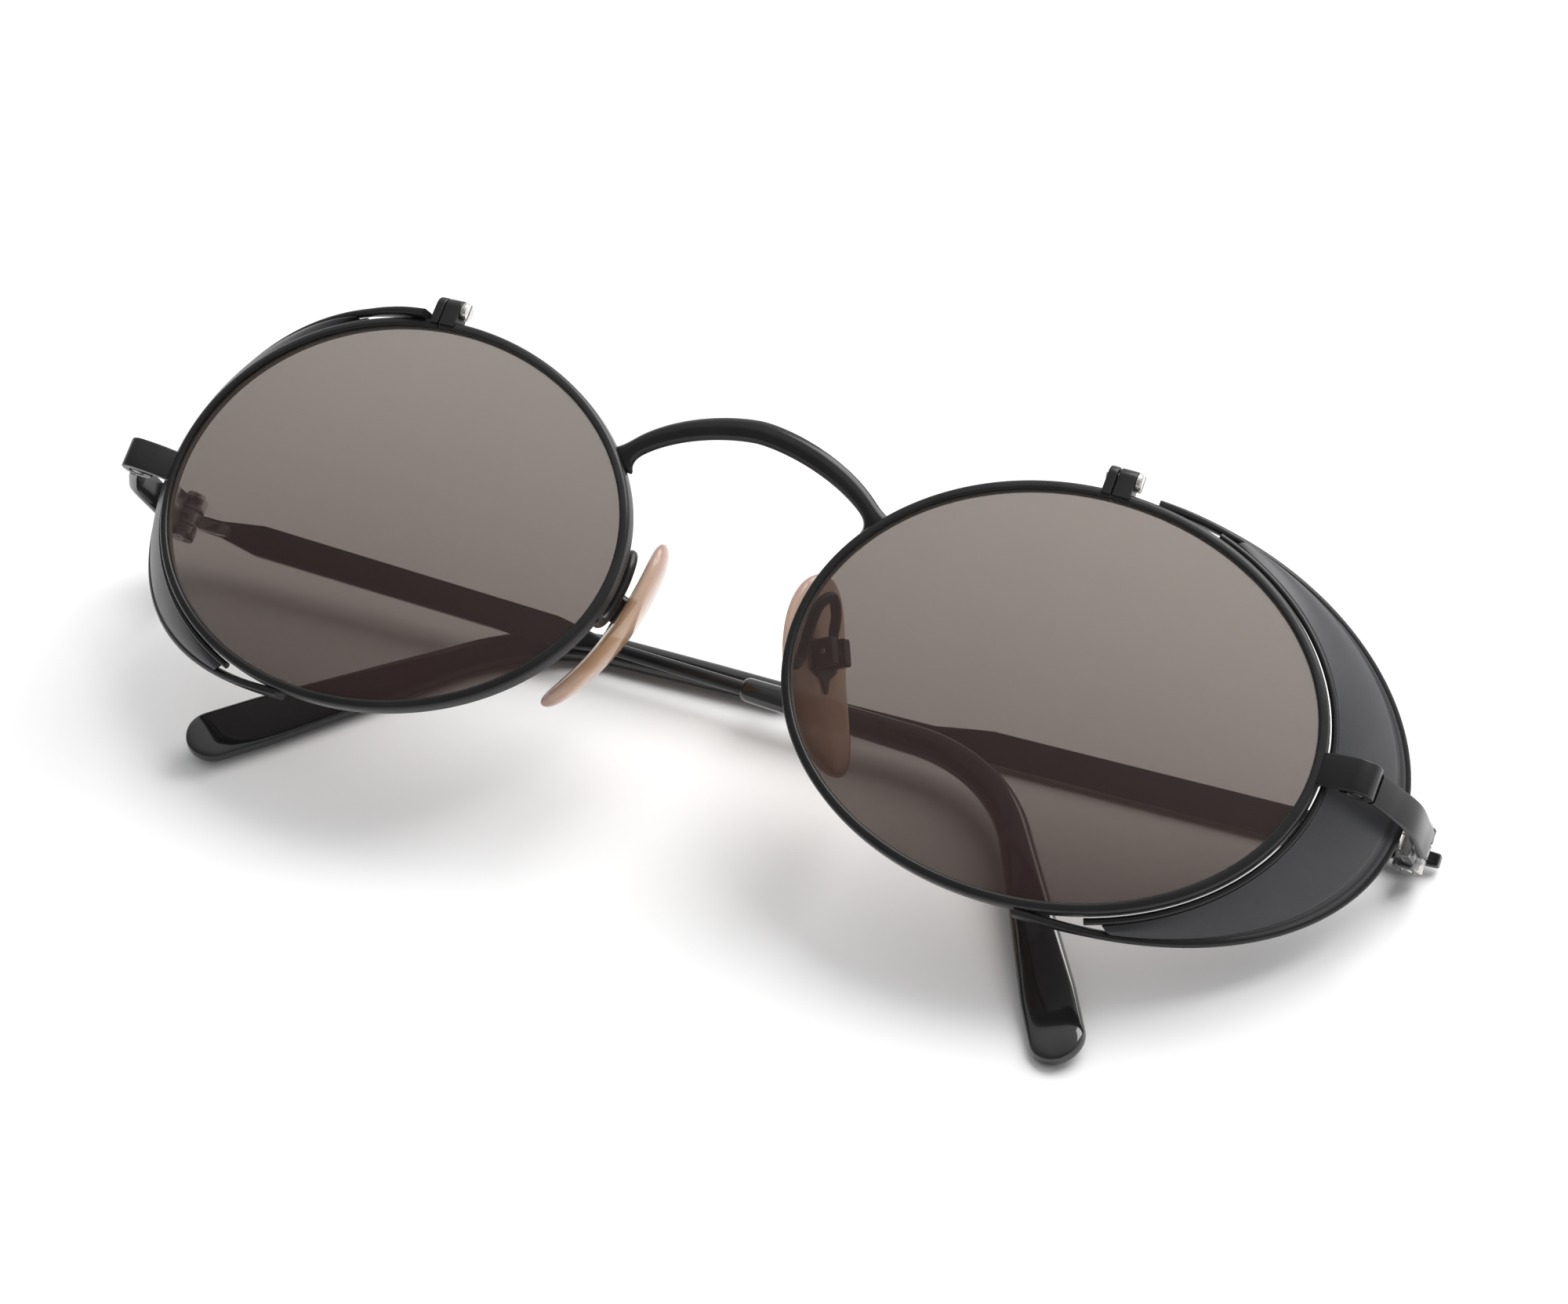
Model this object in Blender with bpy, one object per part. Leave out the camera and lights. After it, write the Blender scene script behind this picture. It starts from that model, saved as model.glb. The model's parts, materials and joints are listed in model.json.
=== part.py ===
"""Glacier glasses with soldered side shields, lying on their folded temples.

The glasses are drawn in their own frame: the origin is midway between the two lens centres,
+X points to the wearer's left, +Y to the brow and +Z out through the lens fronts. An empty
named glasses carries that frame, leans it onto the table and sets its lowest point at z = 0.
Left and right are the wearer's. Every mirrored piece is drawn for the left side first.
"""
import math

import bmesh
import bpy
from mathutils import Matrix, Vector

MM = 0.001
DEG = math.pi / 180

# ---- driving sizes of the front -------------------------------------------------------------
LENS_WIDTH = 50.4 * MM          # clear opening of a rim, across
LENS_HEIGHT = 38.8 * MM         # clear opening of a rim, up
LENS_SPACING = 20.6 * MM        # between the two lenses at the nose
LENS_CENTRES = LENS_WIDTH + LENS_SPACING
LENS_BASE_RADIUS = 90.0 * MM    # sphere that the rims and lenses are bent to
WRAP = 4.0 * DEG                # each rim turns back by this much at its outer side
LENS_THICKNESS = 1.3 * MM
RIM_WALL = 0.95 * MM            # rim wire, from the opening outwards
RIM_DEPTH = 1.6 * MM            # rim wire, front to back
GROOVE = 0.45 * MM              # depth of the groove that holds the lens
LENS_GAP = 0.09 * MM            # play of a lens in its groove
SOLDER_GAP = 0.07 * MM          # room left for the solder between two fixed pieces

# ---- bridge ---------------------------------------------------------------------------------
BRIDGE_FOOT = 148.2 * DEG       # where the arch meets the rim's opening, round the lens
BRIDGE_RISE = 6.55 * MM
BRIDGE_BOW = 2.5 * MM           # the arch's crown stands this far in front of its feet
BRIDGE_WIDTH = 2.3 * MM         # across the crown
BRIDGE_WIDTH_FOOT = 1.6 * MM
BRIDGE_FLARE = 0.45 * MM         # its feet widen by this much each way at the rims
BRIDGE_DEPTH = 1.25 * MM
BRIDGE_BACK = 1.35 * MM         # the feet lie this far behind the front
BRIDGE_POWER = 1.21             # above 1 the arch's shoulders are flatter than an oval's

# ---- closing blocks, which clamp each rim round its lens --------------------------------------
LOCK_X = {"left": -0.7 * MM, "right": -2.0 * MM}    # split of each rim, from its lens centre
LOCK_HALVES = (0.95 * MM, 1.75 * MM)
LOCK_SPLIT = 0.12 * MM
LOCK_HEIGHT = 2.45 * MM
LOCK_DEPTH = 2.0 * MM
LOCK_SCREW_RADIUS = 0.5 * MM
LOCK_HEAD_RADIUS = 0.95 * MM
LOCK_HEAD_THICKNESS = 0.5 * MM
SCREW_PLAY = 0.08 * MM

# ---- endpieces and temple hinges ----------------------------------------------------------------
LUG_HEIGHT = 3.1 * MM
LUG_Y = {"left": 0.75 * MM, "right": -0.6 * MM}     # the worn front is slightly twisted
LUG_STRIP = 0.9 * MM            # thickness of the strip that is curled into the lug
LUG_CURL = 1.2 * MM             # radius of the curl, to the strip's middle
LUG_REACH = 3.6 * MM           # from the rim's outer side to the curl's axis
LUG_BACK = 3.9 * MM            # how far the curl's axis lies behind the front
LINK_HEIGHT = 3.0 * MM
LINK_STRIP = 1.0 * MM
LINK_START = 52.5 * DEG         # where the link starts, round the curl towards the back
LINK_GAP = 0.24 * MM            # from the curl's outside to the middle of the link's end
HINGE_OUT = 6.13 * MM           # temple hinge axis, outside the rim's outer side
HINGE_BACK = 21.0 * MM          # and behind the front
HINGE_Y = {"left": 0.1 * MM, "right": -1.3 * MM}
HINGE_RADIUS = 1.5 * MM
HINGE_HEIGHT = 4.6 * MM
HINGE_GAP = 0.1 * MM            # between the knuckles
HINGE_PIN = 0.6 * MM            # radius of the hinge screw
HINGE_HEAD = 1.0 * MM

# ---- side shields -------------------------------------------------------------------------------
SHIELD_FOOT = 2.3 * MM          # its ends lie this far outside the lens's centre
SHIELD_STAND = 5.62 * MM        # it reaches this far outside the rim
SHIELD_RISE = 0.05 * MM         # its ends' height over the rim's top
SHIELD_FOOT_BACK = {"left": 1.35 * MM, "right": 0.7 * MM}
SHIELD_SLANT = 11.65 * DEG
SHIELD_TILT = {"left": 0.0 * DEG, "right": 1.9 * DEG}     # the worn right shield leans forward
SHIELD_BOW = 7.55 * MM          # extra run towards the back at the middle
SHIELD_POWER = 0.89             # how square the outline is
SHIELD_WIRE = 0.45 * MM         # radius of the outer wire
SHIELD_LACE = 0.33 * MM         # radius of the inner wire
SHIELD_SHEET = 0.5 * MM
SHEET_END = 71.5 * DEG          # the sheet stops here along the outer wire
LACE_END = 67.5 * DEG           # the inner wire runs no further than this
SHIELD_TAB = 1.6 * MM           # width of the squared ends of the outer wire
SHIELD_GAP = 0.08 * MM          # slit between the rim and the inner wire
SHIELD_LACE_BACK = 1.3 * MM     # the inner wire's middle, behind the rim's front edge
SHIELD_JOIN = 0.05 * MM         # between the inner wire's ends and the outer wire

# ---- temples --------------------------------------------------------------------------------------
TEMPLE_LENGTH = 131.0 * MM      # along the temple from the hinge axis to the end of the tip
TEMPLE_STRIP = 1.1 * MM
TEMPLE_HEIGHT = 3.3 * MM
TEMPLE_NECK = 1.6 * MM
TEMPLE_WIRE = 0.7 * MM          # radius of the wire that runs into the tip
TEMPLE_BUTT = 2.2 * MM          # the temple's end stands this far past the hinge axis
TEMPLE_Y = {"left": 0.0, "right": -0.95 * MM}        # height of each temple at its hinge
TEMPLE_DROP = {"left": 1.1 * DEG, "right": 1.45 * DEG}    # slope of the straight part
BAR_TAPER = 6.0 * MM            # the flat bar narrows to a wire over this length
WIRE_SHOWN = 16.0 * MM          # round wire between the bar and the tip
SLEEVE_PLAY = 0.1 * MM
CORE_LENGTH = 19.0 * MM         # wire inside the tip, as far as its bend
TIP_LENGTH = 65.0 * MM          # the plastic tip
BEND_LENGTH = 17.5 * MM
SLEEVE_START = TEMPLE_LENGTH - TIP_LENGTH
BAR_END = SLEEVE_START - WIRE_SHOWN - BAR_TAPER
BEND_START = SLEEVE_START + CORE_LENGTH
TIP_INWARD = 23.5 * DEG         # the tip turns in towards the head by this much
TIP_WIDTHS = (2.4 * MM, 2.7 * MM, 3.3 * MM, 5.4 * MM)
TIP_THICK = (2.3 * MM, 2.3 * MM, 2.1 * MM, 1.8 * MM)
# per side: how far each temple lies from square when folded, and how far its tip bends down
FOLD = {"left": -1.4 * DEG, "right": 1.7 * DEG}
TIP_DROP = {"left": 43.0 * DEG, "right": 52.0 * DEG}

# ---- nose pads --------------------------------------------------------------------------------------
PAD_LENGTH = 19.8 * MM
PAD_WIDTH = 9.0 * MM
PAD_SHIFT = -0.15 * MM          # the pad's middle stands this far across from its pin's
PAD_THICKNESS = 2.0 * MM
PAD_SAG = 1.7 * MM              # bow of a pad along its length
PAD_ABOVE = 7.8 * MM            # from the pad's pin to its upper end
PAD_FOOT = {"left": 190 * DEG, "right": 193.6 * DEG}      # where each arm stands, round the lens
PAD_REACH = Vector((1.44, 3.28, -5.72)) * MM      # from there to the pad's pin
PAD_UP = Vector((-0.378, 0.912, 0.163))
PAD_OUT = Vector((0.876, 0.295, 0.380))
PAD_ARM = 0.55 * MM             # radius of the arm's wire
PAD_BOX = Vector((3.1, 2.7, 2.1)) * MM   # box that the arm ends in: width, height, depth
PAD_PLATE = 0.45 * MM           # core plate let into the pad
PAD_RIM = 0.35 * MM             # the plate shows this far round the box
PAD_TAIL = 3.8 * MM             # the plate's tail, from the pin down

# ---- how the glasses lie ------------------------------------------------------------------------------
LEAN = 31.1 * DEG               # about X: down onto the left temple and both tips
ROLL = 1.9 * DEG                # about Y

RIM_STEPS = 72
SIDES = (("left", 1), ("right", -1))


# ---- helpers ----------------------------------------------------------------------------------------------
def clear_scene():
    for obj in list(bpy.data.objects):
        bpy.data.objects.remove(obj, do_unlink=True)


def material(name, colour, roughness, metallic, alpha=1.0):
    """A Principled material, made once under its name."""
    mat = bpy.data.materials.get(name)
    if mat is None:
        mat = bpy.data.materials.new(name)
        mat.use_nodes = True
        shader = mat.node_tree.nodes["Principled BSDF"]
        shader.inputs["Base Color"].default_value = (*colour, 1)
        shader.inputs["Roughness"].default_value = roughness
        shader.inputs["Metallic"].default_value = metallic
        shader.inputs["Alpha"].default_value = alpha
    return mat


def black_metal():
    return material("black_metal", (0.02, 0.02, 0.022), 0.35, 0.6)


def bright_steel():
    return material("bright_steel", (0.75, 0.75, 0.74), 0.25, 1.0)


def empty(name, parent, matrix):
    """A named frame; matrix places it under its parent."""
    obj = bpy.data.objects.new(name, None)
    bpy.context.scene.collection.objects.link(obj)
    obj.parent = parent
    obj.matrix_basis = matrix
    return obj


def finish(name, bm, parent, mat, sign=1, smooth=35):
    """Make an object of bm, mirrored in X for sign -1, under its parent's frame."""
    if sign < 0:
        bmesh.ops.scale(bm, vec=(-1, 1, 1), verts=bm.verts)
    bmesh.ops.recalc_face_normals(bm, faces=bm.faces)
    mesh = bpy.data.meshes.new(name)
    bm.to_mesh(mesh)
    bm.free()
    mesh.materials.append(mat)
    mesh.shade_smooth()
    mesh.set_sharp_from_angle(angle=math.radians(smooth))
    obj = bpy.data.objects.new(name, mesh)
    bpy.context.scene.collection.objects.link(obj)
    obj.parent = parent
    return obj


def cutter(name, bm, parent, sign=1):
    """A cutting body, which is no part of the glasses."""
    obj = finish(name, bm, parent, black_metal(), sign)
    obj.hide_render = True
    obj.display_type = "WIRE"
    return obj


def boolean(obj, other, operation):
    mod = obj.modifiers.new(operation.lower(), "BOOLEAN")
    mod.operation = operation
    mod.solver = "MANIFOLD"
    mod.object = other


def loft(rings, closed=False):
    """A skin through rings of equal length, closed on itself or with a flat cap at each end."""
    bm = bmesh.new()
    rows = [[bm.verts.new(p) for p in ring] for ring in rings]
    count = len(rows[0])
    last = len(rows) if closed else len(rows) - 1
    for i in range(last):
        a, b = rows[i], rows[(i + 1) % len(rows)]
        for k in range(count):
            n = (k + 1) % count
            bm.faces.new((a[k], a[n], b[n], b[k]))
    if not closed:
        bm.faces.new(rows[0])
        bm.faces.new(rows[-1])
    return bm


def sweep(path, section, side_at, closed=False):
    """Carry a section of (across, along side) points down a path.

    side_at(i) gives the direction of the section's second axis at point i; the first axis is
    square to it and to the path. section(i) gives the section there.
    """
    rings = []
    count = len(path)
    for i, point in enumerate(path):
        before = path[i - 1] if i or closed else path[0]
        after = path[(i + 1) % count] if i + 1 < count or closed else path[-1]
        run = (after - before).normalized()
        side = side_at(i)
        side = (side - run * side.dot(run)).normalized()
        across = side.cross(run)
        rings.append([point + across * a + side * b for a, b in section(i)])
    return loft(rings, closed)


def rounded(half_a, half_b, corner, steps=2):
    """A rectangle with round corners, as (a, b) points in order."""
    points = []
    for turn, (sa, sb) in enumerate(((1, 1), (-1, 1), (-1, -1), (1, -1))):
        for k in range(steps + 1):
            angle = (turn + k / steps) * math.pi / 2
            points.append((sa * (half_a - corner) + corner * math.cos(angle),
                           sb * (half_b - corner) + corner * math.sin(angle)))
    return points


def oval(half_a, half_b, count, power=2.0):
    """A superellipse with count points; power 2 is an ellipse and more is squarer."""
    points = []
    for k in range(count):
        angle = 2 * math.pi * (k + 0.5) / count
        c, s = math.cos(angle), math.sin(angle)
        points.append((half_a * math.copysign(abs(c) ** (2 / power), c),
                       half_b * math.copysign(abs(s) ** (2 / power), s)))
    return points


def smooth_path(points, steps):
    """A Catmull-Rom curve through points, with steps spans between each two."""
    out = []
    for i in range(len(points) - 1):
        a = points[max(i - 1, 0)]
        b, c = points[i], points[i + 1]
        d = points[min(i + 2, len(points) - 1)]
        for k in range(steps):
            t = k / steps
            out.append(0.5 * (2 * b + (c - a) * t + (2 * a - 5 * b + 4 * c - d) * t * t
                              + (3 * b - a - 3 * c + d) * t ** 3))
    out.append(points[-1].copy())
    return out


def blend(value, stops):
    """Straight-line value between (position, amount) stops, held beyond the ends."""
    if value <= stops[0][0]:
        return stops[0][1]
    for (a, x), (b, y) in zip(stops, stops[1:]):
        if value <= b:
            return x + (y - x) * (value - a) / (b - a)
    return stops[-1][1]


def turned(profile, axis, centre, count=28, bore=0.0):
    """A solid turned about axis through centre, from (distance along, radius) points.

    With a bore it is a ring: the same skin runs back through the bore.
    """
    axis = axis.normalized()
    first = axis.orthogonal().normalized()
    second = axis.cross(first)
    rows = list(profile)
    if bore:
        rows += [(profile[-1][0], bore), (profile[0][0], bore)]
    rings = []
    for along, radius in rows:
        rings.append([centre + axis * along
                      + (first * math.cos(2 * math.pi * k / count)
                         + second * math.sin(2 * math.pi * k / count)) * radius
                      for k in range(count)])
    return loft(rings, closed=bool(bore))


def box(low, high):
    """A block between two corners."""
    bm = bmesh.new()
    bmesh.ops.create_cube(bm, size=1)
    size = Vector(high) - Vector(low)
    bmesh.ops.scale(bm, vec=size, verts=bm.verts)
    bmesh.ops.translate(bm, vec=(Vector(low) + Vector(high)) / 2, verts=bm.verts)
    return bm


def bevel_edges(bm, width, segments=2):
    bmesh.ops.bevel(bm, geom=list(bm.edges), offset=width, segments=segments, profile=0.5,
                    affect="EDGES", clamp_overlap=True)


# ---- the rim's shape, which the lens, lock, shield and bridge follow --------------------------------
def rim_point(angle, grow, depth):
    """A point in a lens's own frame, grow outside the rim's opening and depth behind its front."""
    a, b = LENS_WIDTH / 2, LENS_HEIGHT / 2
    c, s = math.cos(angle), math.sin(angle)
    out = Vector((b * c, a * s, 0)).normalized()
    flat = Vector((a * c, b * s, 0)) + out * grow
    return flat + Vector((0, 0, dome(flat.x, flat.y) - depth))


def dome(x, y):
    """Height of the sphere that the rim's front lies on, zero at the rim's top and bottom."""
    return ((LENS_HEIGHT / 2) ** 2 - x * x - y * y) / (2 * LENS_BASE_RADIUS)


def lens_frame(sign):
    """Places a lens's own frame: its centre, and its wrap towards the back."""
    return Matrix.Translation((sign * LENS_CENTRES / 2, 0, 0)) @ Matrix.Rotation(sign * WRAP, 4, "Y")


def outside_rim(angle, grow, depth):
    """The same point of the left rim in the glasses' frame."""
    return lens_frame(1) @ rim_point(angle, grow, depth)


RIM_OUTER_X = outside_rim(0, RIM_WALL, 0).x
RIM_TOP_Y = LENS_HEIGHT / 2 + RIM_WALL
HINGE_X = RIM_OUTER_X + HINGE_OUT
SHIELD_FOOT_X = LENS_CENTRES / 2 + SHIELD_FOOT
SHIELD_REACH = (RIM_OUTER_X + SHIELD_STAND - SHIELD_FOOT_X) / math.cos(SHIELD_SLANT)
SHIELD_HALF_HEIGHT = RIM_TOP_Y + SHIELD_RISE


def rim_envelope(side, sign, parent):
    """Cuts whatever is soldered to a rim's outer side back to its outline, solder gap included."""
    reach = 12 * MM
    grow = RIM_WALL + SOLDER_GAP
    rings = [[rim_point(2 * math.pi * k / RIM_STEPS, grow, 0) + Vector((0, 0, z))
              for k in range(RIM_STEPS)] for z in (-reach, reach)]
    return cutter(f"cut_rim_{side}", loft(rings), parent, sign=1)


# ---- front: rims, lenses, closing blocks, bridge ------------------------------------------------------
def rim(side, sign, parent):
    """The grooved rim wire, open at its closing block."""
    wall, depth = RIM_WALL, RIM_DEPTH
    edge, mid = 0.15 * MM, RIM_DEPTH / 2
    mouth = 0.42 * MM
    section = ((edge, 0), (wall - 0.3 * MM, 0), (wall, 0.3 * MM), (wall, depth - 0.3 * MM),
               (wall - 0.3 * MM, depth), (edge, depth), (0, depth - edge), (0, mid + mouth),
               (GROOVE, mid), (0, mid - mouth), (0, edge))
    split = LOCK_X[side]
    first, last = (math.acos((split + half) / (LENS_WIDTH / 2))
                   for half in (LOCK_SPLIT / 2, -LOCK_SPLIT / 2))
    rings = []
    for k in range(RIM_STEPS + 1):
        angle = first - (2 * math.pi - (last - first)) * k / RIM_STEPS
        rings.append([rim_point(angle, grow, back) for grow, back in section])
    return finish(f"rim_{side}", loft(rings), parent, black_metal())


def lens(side, sign, parent):
    """A domed lens with a bevelled edge that sits in the rim's groove."""
    mid = RIM_DEPTH / 2
    edge_front = mid - 0.34 * MM
    edge_back = mid + 0.34 * MM
    inset = -0.1 * MM
    tip = GROOVE - LENS_GAP - 0.03 * MM
    shrink = (0.8, 0.6, 0.4, 0.2)
    count = RIM_STEPS
    angles = [2 * math.pi * k / count for k in range(count)]

    def inner(share, back, swell):
        ring = []
        for angle in angles:
            p = rim_point(angle, inset, 0)
            x, y = p.x * share, p.y * share
            ring.append(Vector((x, y, dome(x, y) - back - swell * (1 - share * share))))
        return ring

    swell = LENS_THICKNESS - (edge_back - edge_front)
    rings = [inner(share, edge_front, 0) for share in reversed(shrink)]
    rings.append([rim_point(angle, inset, edge_front) for angle in angles])
    rings.append([rim_point(angle, tip, mid) for angle in angles])
    rings.append([rim_point(angle, inset, edge_back) for angle in angles])
    rings += [inner(share, edge_back, swell) for share in shrink]
    glass = material("lens_tint", (0.22, 0.19, 0.17), 0.03, 0.0, 0.6)
    return finish(f"lens_{side}", loft(rings), parent, glass)


def lock(side, sign, parent, envelope):
    """The closing block on top of a rim: two halves and the screw, which goes in from +X."""
    split = LOCK_X[side]
    base = RIM_TOP_Y - 0.6 * MM
    top = RIM_TOP_Y + LOCK_HEIGHT
    middle = -RIM_DEPTH / 2 - 0.1 * MM + dome(0, LENS_HEIGHT / 2)
    radius = LOCK_DEPTH / 2
    axis_y = top - radius
    outline = [(base, -radius), (base, radius)]
    outline += [(axis_y + radius * math.sin(t), radius * math.cos(t))
                for t in [math.pi * k / 10 for k in range(11)]]
    spans = {"inner": (split - LOCK_SPLIT / 2 - LOCK_HALVES[0], split - LOCK_SPLIT / 2),
             "outer": (split + LOCK_SPLIT / 2, split + LOCK_SPLIT / 2 + LOCK_HALVES[1])}
    for half, (low, high) in spans.items():
        rings = [[Vector((x, y, middle + z)) for y, z in outline] for x in (low, high)]
        bm = loft(rings)
        obj = finish(f"lock_{half}_{side}", bm, parent, black_metal())
        hole = turned([(low - MM, LOCK_SCREW_RADIUS + SCREW_PLAY),
                       (high + MM, LOCK_SCREW_RADIUS + SCREW_PLAY)],
                      Vector((1, 0, 0)), Vector((0, axis_y, middle)), count=20)
        boolean(obj, cutter(f"cut_lock_{half}_{side}", hole, parent), "DIFFERENCE")
        boolean(obj, envelope, "DIFFERENCE")
    tail = spans["inner"][0] - 0.25 * MM
    seat = spans["outer"][1] + SOLDER_GAP
    crown = seat + LOCK_HEAD_THICKNESS
    head = LOCK_HEAD_RADIUS
    screw = turned([(tail, LOCK_SCREW_RADIUS - 0.08 * MM), (tail + 0.08 * MM, LOCK_SCREW_RADIUS),
                    (seat, LOCK_SCREW_RADIUS), (seat, head), (crown - 0.15 * MM, head),
                    (crown, head - 0.15 * MM)],
                   Vector((1, 0, 0)), Vector((0, axis_y, middle)), count=24)
    obj = finish(f"lock_screw_{side}", screw, parent, bright_steel())
    slot = box((crown - 0.22 * MM, axis_y - 2 * head, middle - 0.12 * MM),
               (crown + MM, axis_y + 2 * head, middle + 0.12 * MM))
    boolean(obj, cutter(f"cut_screw_{side}", slot, parent), "DIFFERENCE")


def bridge_point(angle):
    """A point of the arch's middle, from the left rim over the crown to the right rim."""
    foot = outside_rim(BRIDGE_FOOT, 0, 0)
    c, s = math.cos(angle), math.sin(angle)
    return Vector((foot.x * math.copysign(abs(c) ** BRIDGE_POWER, c),
                   foot.y + BRIDGE_RISE * abs(s) ** BRIDGE_POWER, -BRIDGE_BACK + BRIDGE_BOW * s))


def bridge(parent, envelopes):
    """The arched bridge: two-faced in section, slimmer towards its feet, which flare at the rims."""
    count = 36
    path = [bridge_point(math.pi * k / count) for k in range(count + 1)]

    def section(i):
        share = math.sin(math.pi * i / count)
        flare = max(0.0, 1 - share / 0.22) ** 2 * BRIDGE_FLARE
        half = (BRIDGE_WIDTH_FOOT + (BRIDGE_WIDTH - BRIDGE_WIDTH_FOOT) * share) / 2 + flare
        deep = BRIDGE_DEPTH / 2
        return ((half, -deep * 0.35), (half * 0.75, deep * 0.45), (half * 0.1, deep),
                (-half * 0.6, deep * 0.75), (-half, deep * 0.1), (-half * 0.9, -deep * 0.7),
                (-half * 0.5, -deep), (half * 0.5, -deep), (half * 0.9, -deep * 0.8))

    forward = Vector((0, 0, 1))
    bm = sweep(path, section, lambda i: forward)
    obj = finish("bridge", bm, parent, black_metal())
    for envelope in envelopes:
        boolean(obj, envelope, "DIFFERENCE")


# ---- endpieces -------------------------------------------------------------------------------------------
def lug_axis(side):
    return Vector((RIM_OUTER_X + LUG_REACH, LUG_Y[side], -LUG_BACK))


def lug(side, sign, parent, envelope):
    """A strip soldered to the rim's outer side and curled round the upright endpiece pin."""
    centre = lug_axis(side)
    front = outside_rim(0, RIM_WALL / 2, RIM_DEPTH / 2)
    front.y = centre.y
    path = [front, Vector(((front.x + centre.x) / 2, centre.y, centre.z + 0.6 * LUG_CURL))]
    for k in range(15):
        angle = (97 - 275 * k / 14) * DEG
        path.append(centre + Vector((math.cos(angle), 0, math.sin(angle))) * LUG_CURL)
    half = LUG_HEIGHT / 2
    outline = rounded(LUG_STRIP / 2, half, 0.12 * MM, 1)
    up = Vector((0, 1, 0))
    obj = finish(f"lug_{side}", sweep(path, lambda i: outline, lambda i: up), parent,
                 black_metal(), sign)
    boolean(obj, envelope, "DIFFERENCE")
    radius = LUG_CURL - LUG_STRIP / 2 - SCREW_PLAY
    pin = turned([(-half, radius * 0.7), (-half + 0.12 * MM, radius), (half - 0.12 * MM, radius),
                  (half, radius * 0.7)], up, centre, count=24)
    finish(f"lug_pin_{side}", pin, parent, black_metal(), sign)


def link(side, sign, parent):
    """The strip that runs from the lug out and back to the temple hinge."""
    centre = lug_axis(side)
    hinge = Vector((HINGE_X, 0, -HINGE_BACK))
    outer = hinge.x + link_offset()
    start = LUG_CURL + LUG_STRIP / 2 + LINK_GAP
    points = [centre + Vector((math.cos(LINK_START), 0, -math.sin(LINK_START))) * start,
              Vector((centre.x + 2.45 * MM, 0, centre.z - 4.0 * MM)),
              Vector((outer - 0.12 * MM, 0, centre.z - 7.6 * MM)),
              Vector((outer, 0, hinge.z + 4.6 * MM)),
              Vector((outer, 0, hinge.z + TEMPLE_BUTT + 0.3 * MM))]
    for p in points:
        p.y = blend(-p.z, ((LUG_BACK, centre.y), (HINGE_BACK, HINGE_Y[side])))
    path = smooth_path(points, 4)
    up = Vector((0, 1, 0))
    outline = rounded(LINK_STRIP / 2, LINK_HEIGHT / 2, 0.3 * MM, 2)
    finish(f"link_{side}", sweep(path, lambda i: outline, lambda i: up), parent,
           black_metal(), sign)


def link_offset():
    """How far outside the hinge axis the middle of the link's strip lies."""
    return HINGE_RADIUS - 0.05 * MM


def knuckle_spans(side):
    """Bottom and top of the lower, middle and upper knuckles."""
    third = (HINGE_HEIGHT - 2 * HINGE_GAP) / 3
    low = HINGE_Y[side] - HINGE_HEIGHT / 2
    step = third + HINGE_GAP
    return [(low + i * step, low + i * step + third) for i in range(3)]


def knuckle(span, centre):
    low, high = span
    edge = 0.12 * MM
    return turned([(low, HINGE_RADIUS - edge), (low + edge, HINGE_RADIUS),
                   (high - edge, HINGE_RADIUS), (high, HINGE_RADIUS - edge)],
                  Vector((0, 1, 0)), centre, count=32)


def bore_cutter(name, side, centre, parent, sign):
    low, high = knuckle_spans(side)[0][0] - MM, knuckle_spans(side)[2][1] + MM
    radius = HINGE_PIN + SCREW_PLAY
    return cutter(name, turned([(low, radius), (high, radius)], Vector((0, 1, 0)), centre, 32),
                  parent, sign)


def hinge_front(side, sign, parent):
    """The front leaf: the lower and upper knuckles and the plate that is soldered in the link."""
    centre = Vector((HINGE_X, 0, -HINGE_BACK))
    lower, middle, upper = knuckle_spans(side)
    inner_face = HINGE_X + link_offset() - LINK_STRIP / 2 - SOLDER_GAP
    plate_x = (inner_face - 0.95 * MM, inner_face)
    clear = HINGE_RADIUS + 0.2 * MM
    low, high = lower[0] + 0.25 * MM, upper[1] - 0.25 * MM
    plate = box((plate_x[0], low, centre.z + clear), (plate_x[1], high, centre.z + clear + 3 * MM))
    obj = finish(f"hinge_front_{side}", plate, parent, black_metal(), sign)
    for name, span in (("lower", lower), ("upper", upper)):
        ring = cutter(f"add_{name}_{side}", knuckle(span, centre), parent, sign)
        boolean(obj, ring, "UNION")
        arm = box((plate_x[0] + 0.1 * MM, max(span[0], low), centre.z),
                  (plate_x[1] - 0.1 * MM, min(span[1], high), centre.z + clear + MM))
        boolean(obj, cutter(f"add_{name}_arm_{side}", arm, parent, sign), "UNION")
    boolean(obj, bore_cutter(f"cut_front_{side}", side, centre, parent, sign), "DIFFERENCE")


def hinge_screw(side, sign, parent):
    """The hinge's screw: slotted head above, plain end below."""
    centre = Vector((HINGE_X, 0, -HINGE_BACK))
    low, high = knuckle_spans(side)[0][0], knuckle_spans(side)[2][1]
    seat = high + SOLDER_GAP
    crown = seat + 0.4 * MM
    edge = 0.1 * MM
    bm = turned([(low - 0.06 * MM, HINGE_PIN - edge), (low + edge, HINGE_PIN), (seat, HINGE_PIN),
                 (seat, HINGE_HEAD), (crown - edge, HINGE_HEAD), (crown, HINGE_HEAD - edge)],
                Vector((0, 1, 0)), centre, count=32)
    obj = finish(f"hinge_screw_{side}", bm, parent, bright_steel(), sign)
    slot = box((centre.x - 3 * MM, crown - 0.18 * MM, centre.z - 0.13 * MM),
               (centre.x + 3 * MM, crown + MM, centre.z + 0.13 * MM))
    boolean(obj, cutter(f"cut_hinge_screw_{side}", slot, parent, sign), "DIFFERENCE")


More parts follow.
